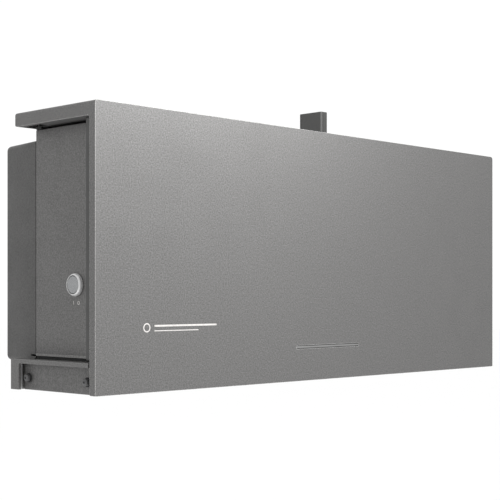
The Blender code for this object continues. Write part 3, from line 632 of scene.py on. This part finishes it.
# ------------------------------------------------------------------ lid, gasket and lid screws
# The lid is a pressed aluminium plate with three raised fields that stiffen it. It sits on a foam
# rubber gasket and six black socket screws hold it. A rubber lip seals the body's top rear edge.
LID_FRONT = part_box("body_lid")[0][1] - FRONT
lid_depth, body_height = (LID_FRONT, LID_FRONT + 0.003), (BODY_BOTTOM, BODY_TOP)
lid = slab("pressed_lid", about(0, BODY_HALF), lid_depth, body_height, 0.0025, steps=5)
for start, end in ((-0.284, -0.104), (-0.090, 0.090), (0.104, 0.284)):
    low, high = np.array((start, BODY_BOTTOM + 0.024)), np.array((end, BODY_TOP - 0.024))
    field = [
        at(edge[:, 0], LID_FRONT - rise, edge[:, 1])
        for rise, edge in (
            (-0.0010, rounded_rectangle(low, high, 0.0100)),
            (0.0002, rounded_rectangle(low, high, 0.0100)),
            (0.0014, rounded_rectangle(low + 0.0022, high - 0.0022, 0.0078)),
        )
    ]
    combine(lid, "UNION", stacked("raised_field", field))
# Near black, so the foot strips also stand for the painted shadow in the slot under the body.
foam = moulded("foam_rubber", (0.008, 0.008, 0.008), 0.85, 0.0002)
lid_metal = milled_metal("lid_aluminium", (0.45, 0.45, 0.46), (1, 30, 30))
dress(ease(lid, 0.0004, 2, 20), lid_metal, "unit", ["body_lid"])
dress(nodes["lid_gasket"], foam)
lip_turn = np.radians(np.linspace(0, 90, 7))
lip_curve = np.stack((0.0161 + 0.0040 * (1 - np.cos(lip_turn)), 0.0002 + 0.0026 * np.sin(lip_turn)), -1)
lip_profile = [(0.0080, 0.0028), (0.0080, 0.0003), (0.0158, 0.0002), *lip_curve]
lip_span = about(0, BODY_HALF - 0.0003)
lip = carried("sealing_lip", np.add(lip_profile, (0.100, BODY_TOP)), lip_span, "across")
seal_rubber = moulded("seal_rubber", (0.02, 0.02, 0.02), 0.7)
dress(ease(lip, 0.0001), seal_rubber, "unit", ["top_seal"])
for number, (x, height) in enumerate(LID_SCREWS, 1):
    place = at(x, LID_FRONT - 0.0003, height)
    head = screw_head(f"lid_socket_screw_{number}", place, (0, -1, 0), 0.0045, 0.0026)
    dress(head, black_plate, "unit", [f"lid_screw_{number}"])

# ------------------------------------------------------------------ inlets
# A plate under the body carries two solar inlets, the round battery inlet and three cable glands,
# all moulded in black nylon with a hexagon at the plate and a ribbed cap nut.
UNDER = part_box("inlet_plate")[0][2] - FOOT - 0.0003
plate_depth, plate_height = about(INLET_DEPTH, 0.027), (UNDER + 0.0003, UNDER + 0.0028)
inlet_plate = slab("gland_plate", about(0, 0.240), plate_depth, plate_height, 0.004, "height", 5)
inlets = {
    "solar_inlet_1": (-0.200, 0.0085, 0.018),
    "solar_inlet_2": (-0.165, 0.0085, 0.018),
    "battery_inlet": (-0.105, 0.0145, 0.020),
    "grid_gland": (0.040, 0.0165, 0.022),
    "backup_gland": (0.115, 0.0165, 0.022),
    "data_gland": (0.190, 0.0125, 0.018),
}
for name, (x, radius, length) in inlets.items():
    hole = circle(radius - 0.0027) + (x, INLET_DEPTH)
    combine(inlet_plate, "DIFFERENCE", carried("gland_hole", hole, (UNDER - 0.01, UNDER + 0.02), "height"))
    bore, collar = radius - 0.0045, radius - 0.003
    hexagon = radius * math.cos(math.pi / 6)
    profile = [
        (bore, -0.0098), (collar, -0.0098), (collar, 0.0), (hexagon, 0.0), (hexagon, 0.0048),
        (radius * 0.82, 0.0050), (radius * 0.82, 0.0062), (radius * 0.93, 0.0064), (radius * 0.96, 0.0072),
        (radius * 0.96, length - 0.0062), (radius * 0.90, length - 0.0035), (radius * 0.82, length - 0.0008),
        (radius * 0.78, length), (bore + 0.0006, length), (bore, length - 0.0008),
    ]
    hexed = [3 <= i <= 4 for i in range(len(profile))]
    ribs = [0.02 if 8 <= i <= 10 else 0.0 for i in range(len(profile))]
    place = at(x, INLET_DEPTH, UNDER)
    gland = turned(f"{name}_fitting", profile, place, (0, 0, -1), 96, ring=True, hexed=hexed, ribs=ribs)
    dress(gland, black_moulding, "unit", [name])
dress(ease(inlet_plate, 0.0004), lid_metal, "unit", ["inlet_plate"])

# ------------------------------------------------------------------ isolator
# A black moulded rotary knob on the right side: a domed disc with a waisted grip bar across it
# and a white pointer line. The 0 and the 1 of its scale are printed on the body.
disc_profile = [
    (0, 0.0058), (0.0125, 0.0058), (0.0172, 0.0050), (0.0186, 0.0038), (0.0190, 0.0025), (0.0190, 0.0006),
    (0.0186, 0), (0.0040, 0), (0.0040, -0.0165), (0, -0.0165),
]
knurl = [0, 0, 0.006, 0.012, 0.012, 0.012, 0.006, 0, 0, 0]
knob_centre = at(BODY_HALF + 0.0008, KNOB_DEPTH, KNOB_HEIGHT)
knob = turned("knob_disc", disc_profile, knob_centre, (1, 0, 0), 64, ribs=knurl, rib_count=32)
GRIP_HALF = np.array((0.0056, 0.0165))


def grip_ring(out, inset, radius):
    """Outline of the grip this far out from the wall: a rounded bar whose width falls to 0.62 at
    the middle with the square of the height."""
    edge = rounded_rectangle(inset - GRIP_HALF, GRIP_HALF - inset, radius, 8)
    waist = 0.62 + 0.38 * (edge[:, 1] / GRIP_HALF[1]) ** 2
    return at(BODY_HALF + out, KNOB_DEPTH + edge[:, 0] * waist, KNOB_HEIGHT + edge[:, 1])


grip_steps = [
    (0.0040, 0, 0.0035), (0.0110, 0.0008, 0.0033), (0.0120, 0.0014, 0.0031), (0.0125, 0.0024, 0.0025),
]
combine(knob, "UNION", stacked("knob_grip", [grip_ring(*values) for values in grip_steps]))
dress(shade(knob, 30), black_moulding, "isolator", ["isolator_knob"])
print_white = new_finish("printed_white", (0.50, 0.485, 0.47), 0.5)
vary_colour(print_white, clouded(print_white, 500, 2), (0.44, 0.425, 0.41), (0.55, 0.535, 0.52))
pointer_depth, pointer_height = about(KNOB_DEPTH, 0.0006), (KNOB_HEIGHT + 0.0065, KNOB_HEIGHT + 0.0135)
pointer_span = (BODY_HALF + 0.0120, BODY_HALF + 0.01255)
pointer = slab("knob_pointer", pointer_span, pointer_depth, pointer_height, 0.0005, "across", 3)
dress(pointer, print_white, "isolator")
scale_ink = (BODY_HALF - 0.0003, BODY_HALF + 0.00006)
oval, zero_place = circle((0.0017, 0.0026), 32), (KNOB_DEPTH, KNOB_HEIGHT + 0.0245)
scale_zero = carried("scale_zero", oval + zero_place, scale_ink, "across")
zero_eye = carried("zero_eye", 0.62 * oval + zero_place, about(BODY_HALF, 0.001), "across")
combine(scale_zero, "DIFFERENCE", zero_eye)
one_depth, one_height = (KNOB_DEPTH + 0.0240, KNOB_DEPTH + 0.0247), about(KNOB_HEIGHT, 0.0026)
scale_one = slab("scale_one", scale_ink, one_depth, one_height, 0.0002, "across", 2)
dress(joined("isolator_scale", scale_zero, scale_one), print_white, "unit")

# ------------------------------------------------------------------ push button
# A stainless push button of the usual 19 mm size: a polished, round-shouldered bezel with a
# turned rim, a fine dark gap, and a cap whose face is brushed in circles.
BEZEL_RADIUS, BEZEL_PROUD = 0.0115, 0.0045
button_centre = at(-BODY_HALF, BUTTON_DEPTH, BUTTON_HEIGHT)
bezel_profile = [
    (0.0093, 0.0004), (0.0112, 0.0003), (BEZEL_RADIUS, 0.0005), (BEZEL_RADIUS, 0.0014),
    (BEZEL_RADIUS - 0.0002, 0.0024), (BEZEL_RADIUS - 0.0007, 0.0035), (BEZEL_RADIUS - 0.0014, 0.0042),
    (BEZEL_RADIUS - 0.0018, BEZEL_PROUD), (0.0094, BEZEL_PROUD), (0.0093, BEZEL_PROUD - 0.0003),
    (0.0091, BEZEL_PROUD - 0.0060), (0.0040, -0.0030), (0.0040, -0.0180), (0.0091, -0.0180),
    (0.0093, -0.0176),
]
bezel = turned("turned_bezel", bezel_profile, button_centre, (-1, 0, 0), 72, ring=True)
bezel_metal = new_finish("polished_steel", (0.62, 0.62, 0.62), 0.14, 0.35)
polish = clouded(bezel_metal, 90, 4)
vary_colour(bezel_metal, polish, (0.57, 0.57, 0.57), (0.68, 0.68, 0.68))
vary_roughness(bezel_metal, polish, 0.10, 0.18)
raise_grain(bezel_metal, clouded(bezel_metal, 900, 2), 0.000004, 0.3)
dress(bezel, bezel_metal, "unit", ["button_bezel"])
washer_profile = [
    (0.0100, 0.0001), (0.0115, 0.0001), (0.0117, 0.0002),
    (0.0117, 0.0003), (0.0113, 0.0004), (0.0100, 0.0004),
]
bezel_washer = turned("bezel_washer", washer_profile, button_centre, (-1, 0, 0), 72, ring=True)
dress(bezel_washer, dark_moulding, "unit")

cap_face = BEZEL_PROUD - 0.0004
cap_profile = [
    (0, cap_face - 0.0003), (0.0045, cap_face - 0.00022), (0.0080, cap_face), (0.0084, cap_face - 0.0001),
    (0.0086, cap_face - 0.0004), (0.0086, cap_face - 0.0070), (0.0035, cap_face - 0.0070),
    (0.0035, cap_face - 0.0225), (0, cap_face - 0.0225),
]
cap = turned("brushed_cap", cap_profile, button_centre, (-1, 0, 0), 72)


def brushed_round(name, colour, centre):
    """Steel brushed in circles: fine rings about the cap's axis, and a shine drawn out across
    them by anisotropy along the radial tangent."""
    material = new_finish(name, colour, 0.3, 1.0, Anisotropic=0.7)
    where = add_node(material, "TexCoord")
    mapping = add_node(material, "Mapping", Location=tuple(-np.asarray(centre)))
    wire(material, where, "Object", mapping, "Vector")
    rings = add_node(material, "TexWave", Scale=900.0, Distortion=6.0, Detail=4.0)
    rings.wave_type = "RINGS"
    rings.rings_direction = "X"
    wire(material, mapping, "Vector", rings, "Vector")
    vary_colour(material, rings, tint(colour, 0.86), tint(colour, 1.1), 0.2, 0.8, "Fac")
    vary_roughness(material, rings, 0.26, 0.36, "Fac")
    raise_grain(material, rings, 0.000012, 0.5, "Fac")
    tangent = add_node(material, "Tangent")
    tangent.direction_type = "RADIAL"
    tangent.axis = "X"
    wire(material, tangent, "Tangent", material.node_tree.nodes["shader"], "Tangent")
    return material


brushed = brushed_round("brushed_steel", (0.30, 0.305, 0.31), button_centre)
dress(cap, brushed, "button", ["button_cap"])

# Behind the wall the barrel is held by a thin hexagon nut with a round face.
nut_profile = [
    (0.0097, -0.0073), (0.0104, -0.0073), (0.0108, -0.0070),
    (0.0108, -0.0036), (0.0104, -0.0033), (0.0097, -0.0033),
]
nut_flats = [False, True, True, True, True, False]
nut = turned("hexagon_nut", nut_profile, button_centre, (-1, 0, 0), 48, ring=True, hexed=nut_flats)
dress(nut, zinc, "unit", ["button_nut"])

# ------------------------------------------------------------------ base brackets
# Folded and welded steel at the foot of each side, coated like the cover: a thin angle that shows as a strip
# and a leg, a top, a rear wall, a web, a rib and a ledge. A light bare metal strip at the leg's inner edge is
# a painted highlight, and a near-black foam strip on the ledge seals against the body and stands for the
# painted shadow in the slot under it.
BASE_HEIGHT = 0.0311
BRACKET_FRONT, BRACKET_BACK, BRACKET_WIDTH, PANEL_INSET = 0.0111, 0.1375, 0.0147, 0.008
LEDGE_WIDTH, LEDGE_BACK = 0.0220, 0.1190
bracket_coat = powder_coat("bracket_coat", (0.125, 0.1232, 0.1215), edge=0.7, wear_and_highlight=1.9)
# Light bare metal for a strip at each leg's inner edge: a painted highlight.
highlight_edge_metal = milled_metal("highlight_edge_metal", (0.62, 0.62, 0.62), (20, 20, 1), (0.4, 0.6))


def side_span(side, inner, outer):
    """Range of across between two insets from the cover's edge, on one side."""
    return sorted((side * (HALF - inner), side * (HALF - outer)))


STRIP_LOW, LEG_EDGE, LEG_RADIUS = BASE_HEIGHT - 0.0043, 0.1242, 0.0012
corner = np.radians(np.linspace(90, 0, 5))
leg_round = LEG_RADIUS * np.stack((np.cos(corner), np.sin(corner)), -1)
angle_outline = [
    (BRACKET_FRONT, STRIP_LOW), *(np.array((LEG_EDGE - LEG_RADIUS, STRIP_LOW - LEG_RADIUS)) + leg_round),
    (LEG_EDGE, 0), (BRACKET_BACK, 0), (BRACKET_BACK, BASE_HEIGHT), (BRACKET_FRONT, BASE_HEIGHT),
]
top_height, wall_height = (BASE_HEIGHT - 0.0028, BASE_HEIGHT), (0, BASE_HEIGHT - 0.001)
web_depth = (BRACKET_FRONT + 0.001, BRACKET_BACK - 0.001)
bracket_plates = [
    ("top", (0.001, BRACKET_WIDTH), (BRACKET_FRONT, BRACKET_BACK), top_height),
    ("rear", (0.001, BRACKET_WIDTH), (BRACKET_BACK - 0.003, BRACKET_BACK), wall_height),
    ("web", (PANEL_INSET + 0.0038, BRACKET_WIDTH), web_depth, wall_height),
    ("rib", (PANEL_INSET + 0.0006, PANEL_INSET + 0.005), (0.1286, 0.1300), wall_height),
    ("ledge", (0.001, LEDGE_WIDTH), (BRACKET_FRONT, LEDGE_BACK), top_height),
]
edge_height = (0.0002, BASE_HEIGHT - 0.0031)
for name, side in SIDES:
    bracket = carried(f"{name}_foot_bracket", angle_outline, side_span(side, 0, 0.003), "across")
    plates = [
        slab(plate, side_span(side, *insets), depth, height)
        for plate, insets, depth, height in bracket_plates
    ]
    combine(bracket, "UNION", *plates)
    dress(ease(bracket, 0.0004), bracket_coat, "unit", [f"{name}_base_bracket"])
    strip_span = side_span(side, 0.0163, 0.0215)
    # Near-black foam strip: also painted shadow in the slot under the body.
    shadow_strip = slab(f"{name}_shadow_foam_strip", strip_span, (0.0190, 0.1152), (BASE_HEIGHT + 0.0001, 0.0342), 0.0004)
    dress(shadow_strip, foam, "unit", [f"{name}_foot_seal"])
    # A light strip at the leg's inner edge: a painted highlight.
    edge = slab(f"{name}_highlight_strip", side_span(side, 0.0031, 0.0046), (0.1240, 0.1300), edge_height, 0.0003)
    dress(edge, highlight_edge_metal, "unit")

# ------------------------------------------------------------------ service panels and screws
# A flat steel panel in each bracket's recess, coated the same as the bracket but painted darker as painted
# shade in the recess, with two dark coated screws on black washers.
screw_coat = powder_coat("screw_coat", (0.085, 0.085, 0.086), 0.00004, 0.6)
# Darker than the bracket's coat: painted shade in the recess.
panel_shaded_coat = powder_coat("panel_shaded_coat", (0.106, 0.1045, 0.103), edge=0.6)
washer_ring = [
    (0.0030, 0.0001), (0.0045, 0.0001), (0.0047, 0.0003),
    (0.0047, 0.0006), (0.0045, 0.0008), (0.0030, 0.0008),
]
for name, side in SIDES:
    panel_depth, panel_height = (BRACKET_FRONT + 0.0005, 0.1256), (0.0, BASE_HEIGHT - 0.0031)
    panel_span = side_span(side, PANEL_INSET, PANEL_INSET + 0.0015)
    panel = slab(f"{name}_recess_panel", panel_span, panel_depth, panel_height, 0.0012, "across")
    dress(ease(panel, 0.0003), panel_shaded_coat, "unit", [f"{name}_service_panel"])
    for number, depth in enumerate((0.0208, 0.1165), 1):
        place = at(side * (HALF - PANEL_INSET + 0.0008), depth, 0.0122)
        head = screw_head(f"{name}_panel_screw_{number}", place, (side, 0, 0), 0.0038, 0.0045, socket=0.3)
        dress(head, screw_coat, "unit", [f"{name}_service_screw_{number}"])
        washer = turned(f"{name}_panel_washer_{number}", washer_ring, place, (side, 0, 0), 36, ring=True)
        dress(washer, black_plate, "unit")

# ------------------------------------------------------------------ cross bar
# A plated steel channel that ties the two brackets at the back, with long holes for cable ties.
bar_span = about(0, HALF - BRACKET_WIDTH - 0.0003)
bar = slab("tie_bar", bar_span, (0.1185, 0.1345), (0.004, 0.024), 0.0018, "across")
channel = slab("channel", about(0, HALF), (0.1205, 0.1500), (0.006, 0.022), 0.0008, "across")
tie_hole = rounded_rectangle((-0.011, 0.0115), (0.011, 0.0165), 0.0025, 4)
ties = copies(tie_hole, np.linspace(-0.280, 0.280, 9), 0.0)
combine(bar, "DIFFERENCE", channel, carried("tie_holes", ties, (0.110, 0.130), "depth"))
dress(ease(bar, 0.0003), zinc, "unit", ["cross_bar"])

# ------------------------------------------------------------------ communication stick
# A flat radio dongle in two dark moulded halves, with a parting line on each narrow edge and a seam
# on each wide face near the rear. It plugs down into a socket collar on the rear housing. It is
# drawn a little fuller at the sides and forward in front than the CAD solid.
low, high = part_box("communication_stick")
socket_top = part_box("stick_socket")[1][2] - FOOT
FULLER, FORWARD = 0.0006, 0.0007
stick_low = np.array((low[0] - FULLER, low[1] - FRONT - FORWARD))
stick_high = np.array((high[0] + FULLER, high[1] - FRONT))
STICK_TOP = high[2] - FOOT


def plan_ring(low, high, inset, radius, height, steps=8):
    """Rounded rectangle at one height, this far inside the full size."""
    edge = rounded_rectangle(low + inset, high - inset, radius, steps)
    return at(edge[:, 0], edge[:, 1], height)


# Each step is an inset, a corner radius and a height. The front corners are soft, the rear ones
# tight, and the crown is a quarter circle.
CROWN = 0.0008
crown = np.radians(np.linspace(0, 90, 6))
stick_steps = [(0.0008, 0.0022, socket_top + 0.0003), (0.0, 0.0026, socket_top + 0.0011)]
for turn in crown:
    inset = CROWN * (1 - math.cos(turn))
    stick_steps.append((inset, 0.0026 - inset, STICK_TOP - CROWN + CROWN * math.sin(turn)))
corners = np.array((0.25, 0.25, 1, 1))
stick_rings = [plan_ring(stick_low, stick_high, step[0], step[1] * corners, step[2]) for step in stick_steps]
stick = stacked("radio_stick", stick_rings)
line_across = (stick_low[0] + 0.0045, stick_low[0] + 0.0048)
line_height = (socket_top - 0.001, STICK_TOP + 0.001)
line_depths = ((stick_low[1] - 0.01, stick_low[1] + 0.0004), (stick_high[1] - 0.0004, stick_high[1] + 0.01))
seams = [slab("parting_line", line_across, depth, line_height, 0.0001, "height", 2) for depth in line_depths]
seam_depth = (stick_high[1] - 0.0021, stick_high[1] - 0.0009)
for across in (stick_low[0], stick_high[0]):
    seam_across = about(across, 0.0010)
    seams.append(slab("shell_seam", seam_across, seam_depth, (socket_top + 0.002, STICK_TOP + 0.001)))
combine(stick, "DIFFERENCE", *seams)
plug_across, plug_height = about(STICK_X, 0.0022), (socket_top - 0.012, socket_top + 0.005)
combine(stick, "UNION", slab("plug", plug_across, (0.1435, 0.1555), plug_height, 0.0005, "height"))
stick_plastic = moulded("stick_plastic", (0.031, 0.031, 0.030), 0.5)
dress(shade(stick, 28), stick_plastic, "stick", ["communication_stick"])

collar_low, collar_high = np.array((STICK_X - 0.010, 0.131)), np.array((STICK_X + 0.010, 0.168))
collar_steps = [
    (0.0, 0.0020, REAR_TOP + 0.0003), (0.0, 0.0020, socket_top - 0.0014),
    (0.0005, 0.0016, socket_top - 0.0004), (0.0012, 0.0012, socket_top),
]
collar = stacked("socket_collar", [plan_ring(collar_low, collar_high, *step, 6) for step in collar_steps])
neck_across, neck_height = about(STICK_X, 0.0045), (REAR_TOP - 0.008, REAR_TOP + 0.001)
combine(collar, "UNION", slab("neck", neck_across, (0.1412, 0.1578), neck_height, 0.0008, "height"))
throat_across, throat_height = about(STICK_X, 0.0025), (REAR_TOP - 0.02, socket_top + 0.01)
throat = slab("throat", throat_across, (0.1432, 0.1558), throat_height, 0.0005, "height")
combine(collar, "DIFFERENCE", throat)
dress(shade(collar, 30), black_moulding, "unit", ["stick_socket"])

# ------------------------------------------------------------------ carrier frame
# A dark moulded tray that the cover clips to, with its upper corners rounded to follow the fold and a grid of
# ribs on its back. Its dark moulding shows as a dark line behind the cover's edge, partly its own colour and
# partly painted shade in that gap.
HEIGHT, CAP_HEIGHT, SHEET, RETURN_DEPTH = 0.282, 0.0141, 0.0015, 0.0087
LIP = HEIGHT - CAP_HEIGHT
CAP_BEND = 0.003
FRAME_HALF, FRAME_BACK, FRAME_LOW = HALF - 0.003, 0.0178, 0.0330
LIGHT_HALF, LIGHT_HEIGHT = 0.0553, 0.0379
FRAME_WALL = 0.0025
tray = slab("cover_carrier", about(0, FRAME_HALF), (0.0052, FRAME_BACK), (FRAME_LOW, LIP - 0.0003), 0.002)
inner_across = about(0, FRAME_HALF - FRAME_WALL)
inner_depth, inner_height = (-0.010, FRAME_BACK - FRAME_WALL), (FRAME_LOW + FRAME_WALL, LIP - 0.0028)
notch_across = about(0, LIGHT_HALF + 0.012)
combine(
    tray,
    "DIFFERENCE",
    slab("tray_hollow", inner_across, inner_depth, inner_height, 0.001),
    slab("light_notch", notch_across, (-0.010, 0.0135), (0.020, LIGHT_HEIGHT + 0.012), 0.001),
)
upright = rounded_rectangle((-0.0007, FRAME_LOW + 0.012), (0.0007, LIP - 0.012), 0.0005, 3)
level = rounded_rectangle((-0.3165, -0.0007), (0.3165, 0.0007), 0.0005, 3)
uprights = copies(upright, np.linspace(-0.315, 0.315, 10), 0.0)
levels = copies(level, 0.0, np.linspace(0.062, 0.235, 5))
combine(
    tray,
    "UNION",
    carried("uprights", uprights, (FRAME_BACK - 0.001, FRAME_BACK + 0.0022), "depth"),
    carried("level_ribs", levels, (FRAME_BACK - 0.001, FRAME_BACK + 0.0018), "depth"),
)
dress(ease(tray, 0.0004), dark_moulding, "cover", ["carrier_frame"])

# ------------------------------------------------------------------ cap tray
# A folded dark sheet that closes the front half of the cap from below, with a flange up inside
# it and a row of small round clip holes along its front edge.
TRAY_DEPTH, TRAY_END_DEPTH = 0.118, 0.095
tray_across = about(0, HALF - SHEET - 0.0003)
rear_across = about(0, HALF - 0.020)
sheet_height, flange_height = (LIP, LIP + SHEET), (LIP, HEIGHT - SHEET - 0.001)
tray_depth = (SHEET + 0.0003, TRAY_END_DEPTH)
lid_tray = slab("cap_closing_sheet", tray_across, tray_depth, sheet_height, along="across")
combine(
    lid_tray,
    "UNION",
    slab("rear_part", rear_across, (TRAY_END_DEPTH - 0.010, TRAY_DEPTH), sheet_height, along="across"),
    slab("flange", rear_across, (TRAY_DEPTH - SHEET, TRAY_DEPTH), flange_height, along="across"),
)
clips = copies(circle(0.0016), np.linspace(-0.333, 0.333, 15), 0.0150)
combine(lid_tray, "DIFFERENCE", carried("clip_holes", clips, about(LIP, 0.004), "height"))
tray_coat = moulded("tray_coat", (0.105, 0.1042, 0.1033), 0.5)
dress(ease(lid_tray, 0.0003), tray_coat, "cover", ["cap_tray"])

# ------------------------------------------------------------------ light bar
# A milky diffuser in the cover's slot, standing in a black holder that shows as a dark outline.
window_across, window_height = about(0, LIGHT_HALF - 0.0003), about(LIGHT_HEIGHT, 0.0011)
diffuser = slab("light_diffuser", window_across, (0.0003, 0.0045), window_height, 0.0006)
foot_across, foot_height = about(0, LIGHT_HALF + 0.003), about(LIGHT_HEIGHT, 0.0035)
combine(diffuser, "UNION", slab("diffuser_foot", foot_across, (0.0025, 0.0045), foot_height, 0.0005))
milky = new_finish("milky_plastic", (0.15, 0.15, 0.148), 0.45)
haze = clouded(milky, 40, 3, stretch=(0.2, 1, 1))
vary_colour(milky, haze, (0.13, 0.13, 0.128), (0.18, 0.18, 0.178))
vary_roughness(milky, haze, 0.40, 0.50)
raise_grain(milky, clouded(milky, 1200, 2), 0.00001, 0.4)
dress(ease(diffuser, 0.0003), milky, "cover", ["light_guide"])
dress(nodes["light_holder"], black_moulding)

# ------------------------------------------------------------------ front cover
# One folded steel shell, 1.5 mm thick: the flat front, a return all round it and the deep cap
# over the top with a hem along its lips. Its powder coat is fine and slightly metallic.
CAP_DEPTH, CAP_HEM = 0.130, 0.0063
INK = 0.00005
FACE = 0.00006


def arc(centre, radius, start, end, steps=6):
    """Points on a circle between two angles in degrees."""
    turn = np.radians(np.linspace(start, end, steps + 1))
    return np.asarray(centre) + radius * np.stack((np.cos(turn), np.sin(turn)), axis=-1)


side_profile = np.vstack(
    [
        (FACE, 0),
        (RETURN_DEPTH, 0),
        arc((RETURN_DEPTH + CAP_BEND, LIP - CAP_BEND), CAP_BEND, 180, 90),
        arc((CAP_DEPTH - 0.002, LIP + 0.002), 0.002, -90, 0),
        arc((CAP_DEPTH - 0.002, HEIGHT - 0.002), 0.002, 0, 90),
        (FACE, HEIGHT),
    ]
)
shell = carried("cover_shell", side_profile, about(0, HALF), "across")
front_outline = rounded_rectangle((-HALF, 0), (HALF, HEIGHT), (0.004, 0.003, 0.0015, 0.0015), 6)
combine(shell, "INTERSECT", carried("front_outline", front_outline, (-0.01, CAP_DEPTH + 0.01), "depth"))
ease(shell, 0.0009, 3, 30)
inside = about(0, HALF - SHEET)
under_depth, mouth_across = (SHEET, CAP_DEPTH - SHEET), about(0, HALF - CAP_HEM)
mouth_height, slot_height = (LIP - 0.02, LIP + 0.004), about(LIGHT_HEIGHT, 0.002)
combine(
    shell,
    "DIFFERENCE",
    slab("behind_face", inside, (SHEET, RETURN_DEPTH + 0.02), (SHEET, LIP), 0.0015),
    slab("under_cap", inside, under_depth, (LIP + SHEET, HEIGHT - SHEET), 0.001),
    slab("cap_mouth", mouth_across, under_depth, mouth_height, 0.001, "height"),
    slab("tray_seat", inside, (SHEET, TRAY_END_DEPTH + 0.0003), mouth_height, 0.001, "height"),
    slab("light_slot", about(0, LIGHT_HALF), about(0, 0.01), slot_height, 0.0019),
)
# Edges tinted five times lighter: partly worn coat, partly a painted highlight, the bright line along each
# fold.
cover_coat = powder_coat("cover_coat", (0.120, 0.1185, 0.117), edge=1.0, wear_and_highlight=5.0)
dress(shell, cover_coat, "cover", ["front_cover"])

# ------------------------------------------------------------------ printed marks
# Plain printed shapes in place of lettering: a ring and two rules on the cover, and a ring and a
# bar under the push button. The ink stands a twentieth of a millimetre proud of the coat.


def printed_ring(name, centre, outer, inner, stations, along):
    """A flat ring of ink: a disc less a smaller disc."""
    ring = carried(name, circle(outer, 48) + centre, stations, along)
    eye = carried("eye", circle(inner, 48) + centre, (stations[0] - 0.001, stations[1] + 0.001), along)
    return combine(ring, "DIFFERENCE", eye)


front_ink = (FACE - INK, 0.0004)
mark_left = -HALF + 0.060
cover_mark = joined(
    "cover_mark",
    printed_ring("cover_ring", (mark_left + 0.0046, 0.0640), 0.0046, 0.0034, front_ink, "depth"),
    slab("long_rule", (mark_left + 0.0145, mark_left + 0.1005), front_ink, (0.0648, 0.0666), 0.0008),
    slab("short_rule", (mark_left + 0.0145, mark_left + 0.0745), front_ink, (0.0603, 0.0612), 0.0004),
)
dress(cover_mark, print_white, "cover")
body_ink = (-BODY_HALF - INK, -BODY_HALF + 0.0004)
bar_depth = (BUTTON_DEPTH + 0.0036, BUTTON_DEPTH + 0.0042)
button_mark = joined(
    "button_mark",
    printed_ring("button_ring", (BUTTON_DEPTH - 0.0040, 0.0885), 0.0018, 0.00125, body_ink, "across"),
    slab("button_bar", body_ink, bar_depth, (0.0867, 0.0903), 0.0002, "across"),
)
dress(button_mark, print_white, "unit")

# ------------------------------------------------------------------ studio
# A white floor well below the hung unit, white surroundings, and four soft lights.
CAMERA_AT, CAMERA_TURN = (-1.0636, -1.0894, -0.0930), math.radians(-45.86)
LENS, SENSOR, SHIFT = 87.5, 36, 0.0886
FLOOR_SIZE, FLOOR_HEIGHT = 30, -0.62
SURROUNDINGS = 1.03


def soft_light(name, place, aim, side, power):
    """A square area light at a place, turned to face a point."""
    lamp = bpy.data.lights.new(name, "AREA")
    lamp.size = side
    lamp.energy = power
    holder = bpy.data.objects.new(name, lamp)
    holder.location = place
    holder.visible_camera = False
    holder.rotation_euler = (Vector(aim) - Vector(place)).to_track_quat("-Z", "Y").to_euler()
    bpy.context.scene.collection.objects.link(holder)


lens = bpy.data.cameras.new("camera")
lens.lens = LENS
lens.sensor_width = SENSOR
lens.shift_y = SHIFT
camera = bpy.data.objects.new("camera", lens)
camera.location = CAMERA_AT
camera.rotation_euler = (math.pi / 2, 0, CAMERA_TURN)
bpy.context.scene.collection.objects.link(camera)
bpy.context.scene.camera = camera
soft_light("upper_left", (-0.30, -0.70, 0.30), (-0.28, -0.18, 0.08), 0.30, 3.4)
soft_light("upper_middle", (0.05, -0.50, 0.45), (0.0, -0.18, 0.09), 0.40, 1.2)
soft_light("close_fill", (-0.10, -0.35, 0.30), (-0.20, -0.18, 0.05), 0.20, 2.1)
soft_light("upper_right", (0.34, -0.40, 0.32), (0.28, -0.18, 0.10), 0.25, 0.5)
bpy.context.scene.view_settings.view_transform = "Standard"
world = bpy.data.worlds.new("white_room")
world.use_nodes = True
background = world.node_tree.nodes["Background"]
background.inputs["Color"].default_value = (1, 1, 1, 1)
background.inputs["Strength"].default_value = SURROUNDINGS
bpy.context.scene.world = world
bpy.ops.mesh.primitive_plane_add(size=FLOOR_SIZE, location=(0, 0, FLOOR_HEIGHT))
floor = bpy.context.object
floor.name = "floor"
floor.data.materials.append(new_finish("floor_paint", (0.97, 0.97, 0.97), 0.9))
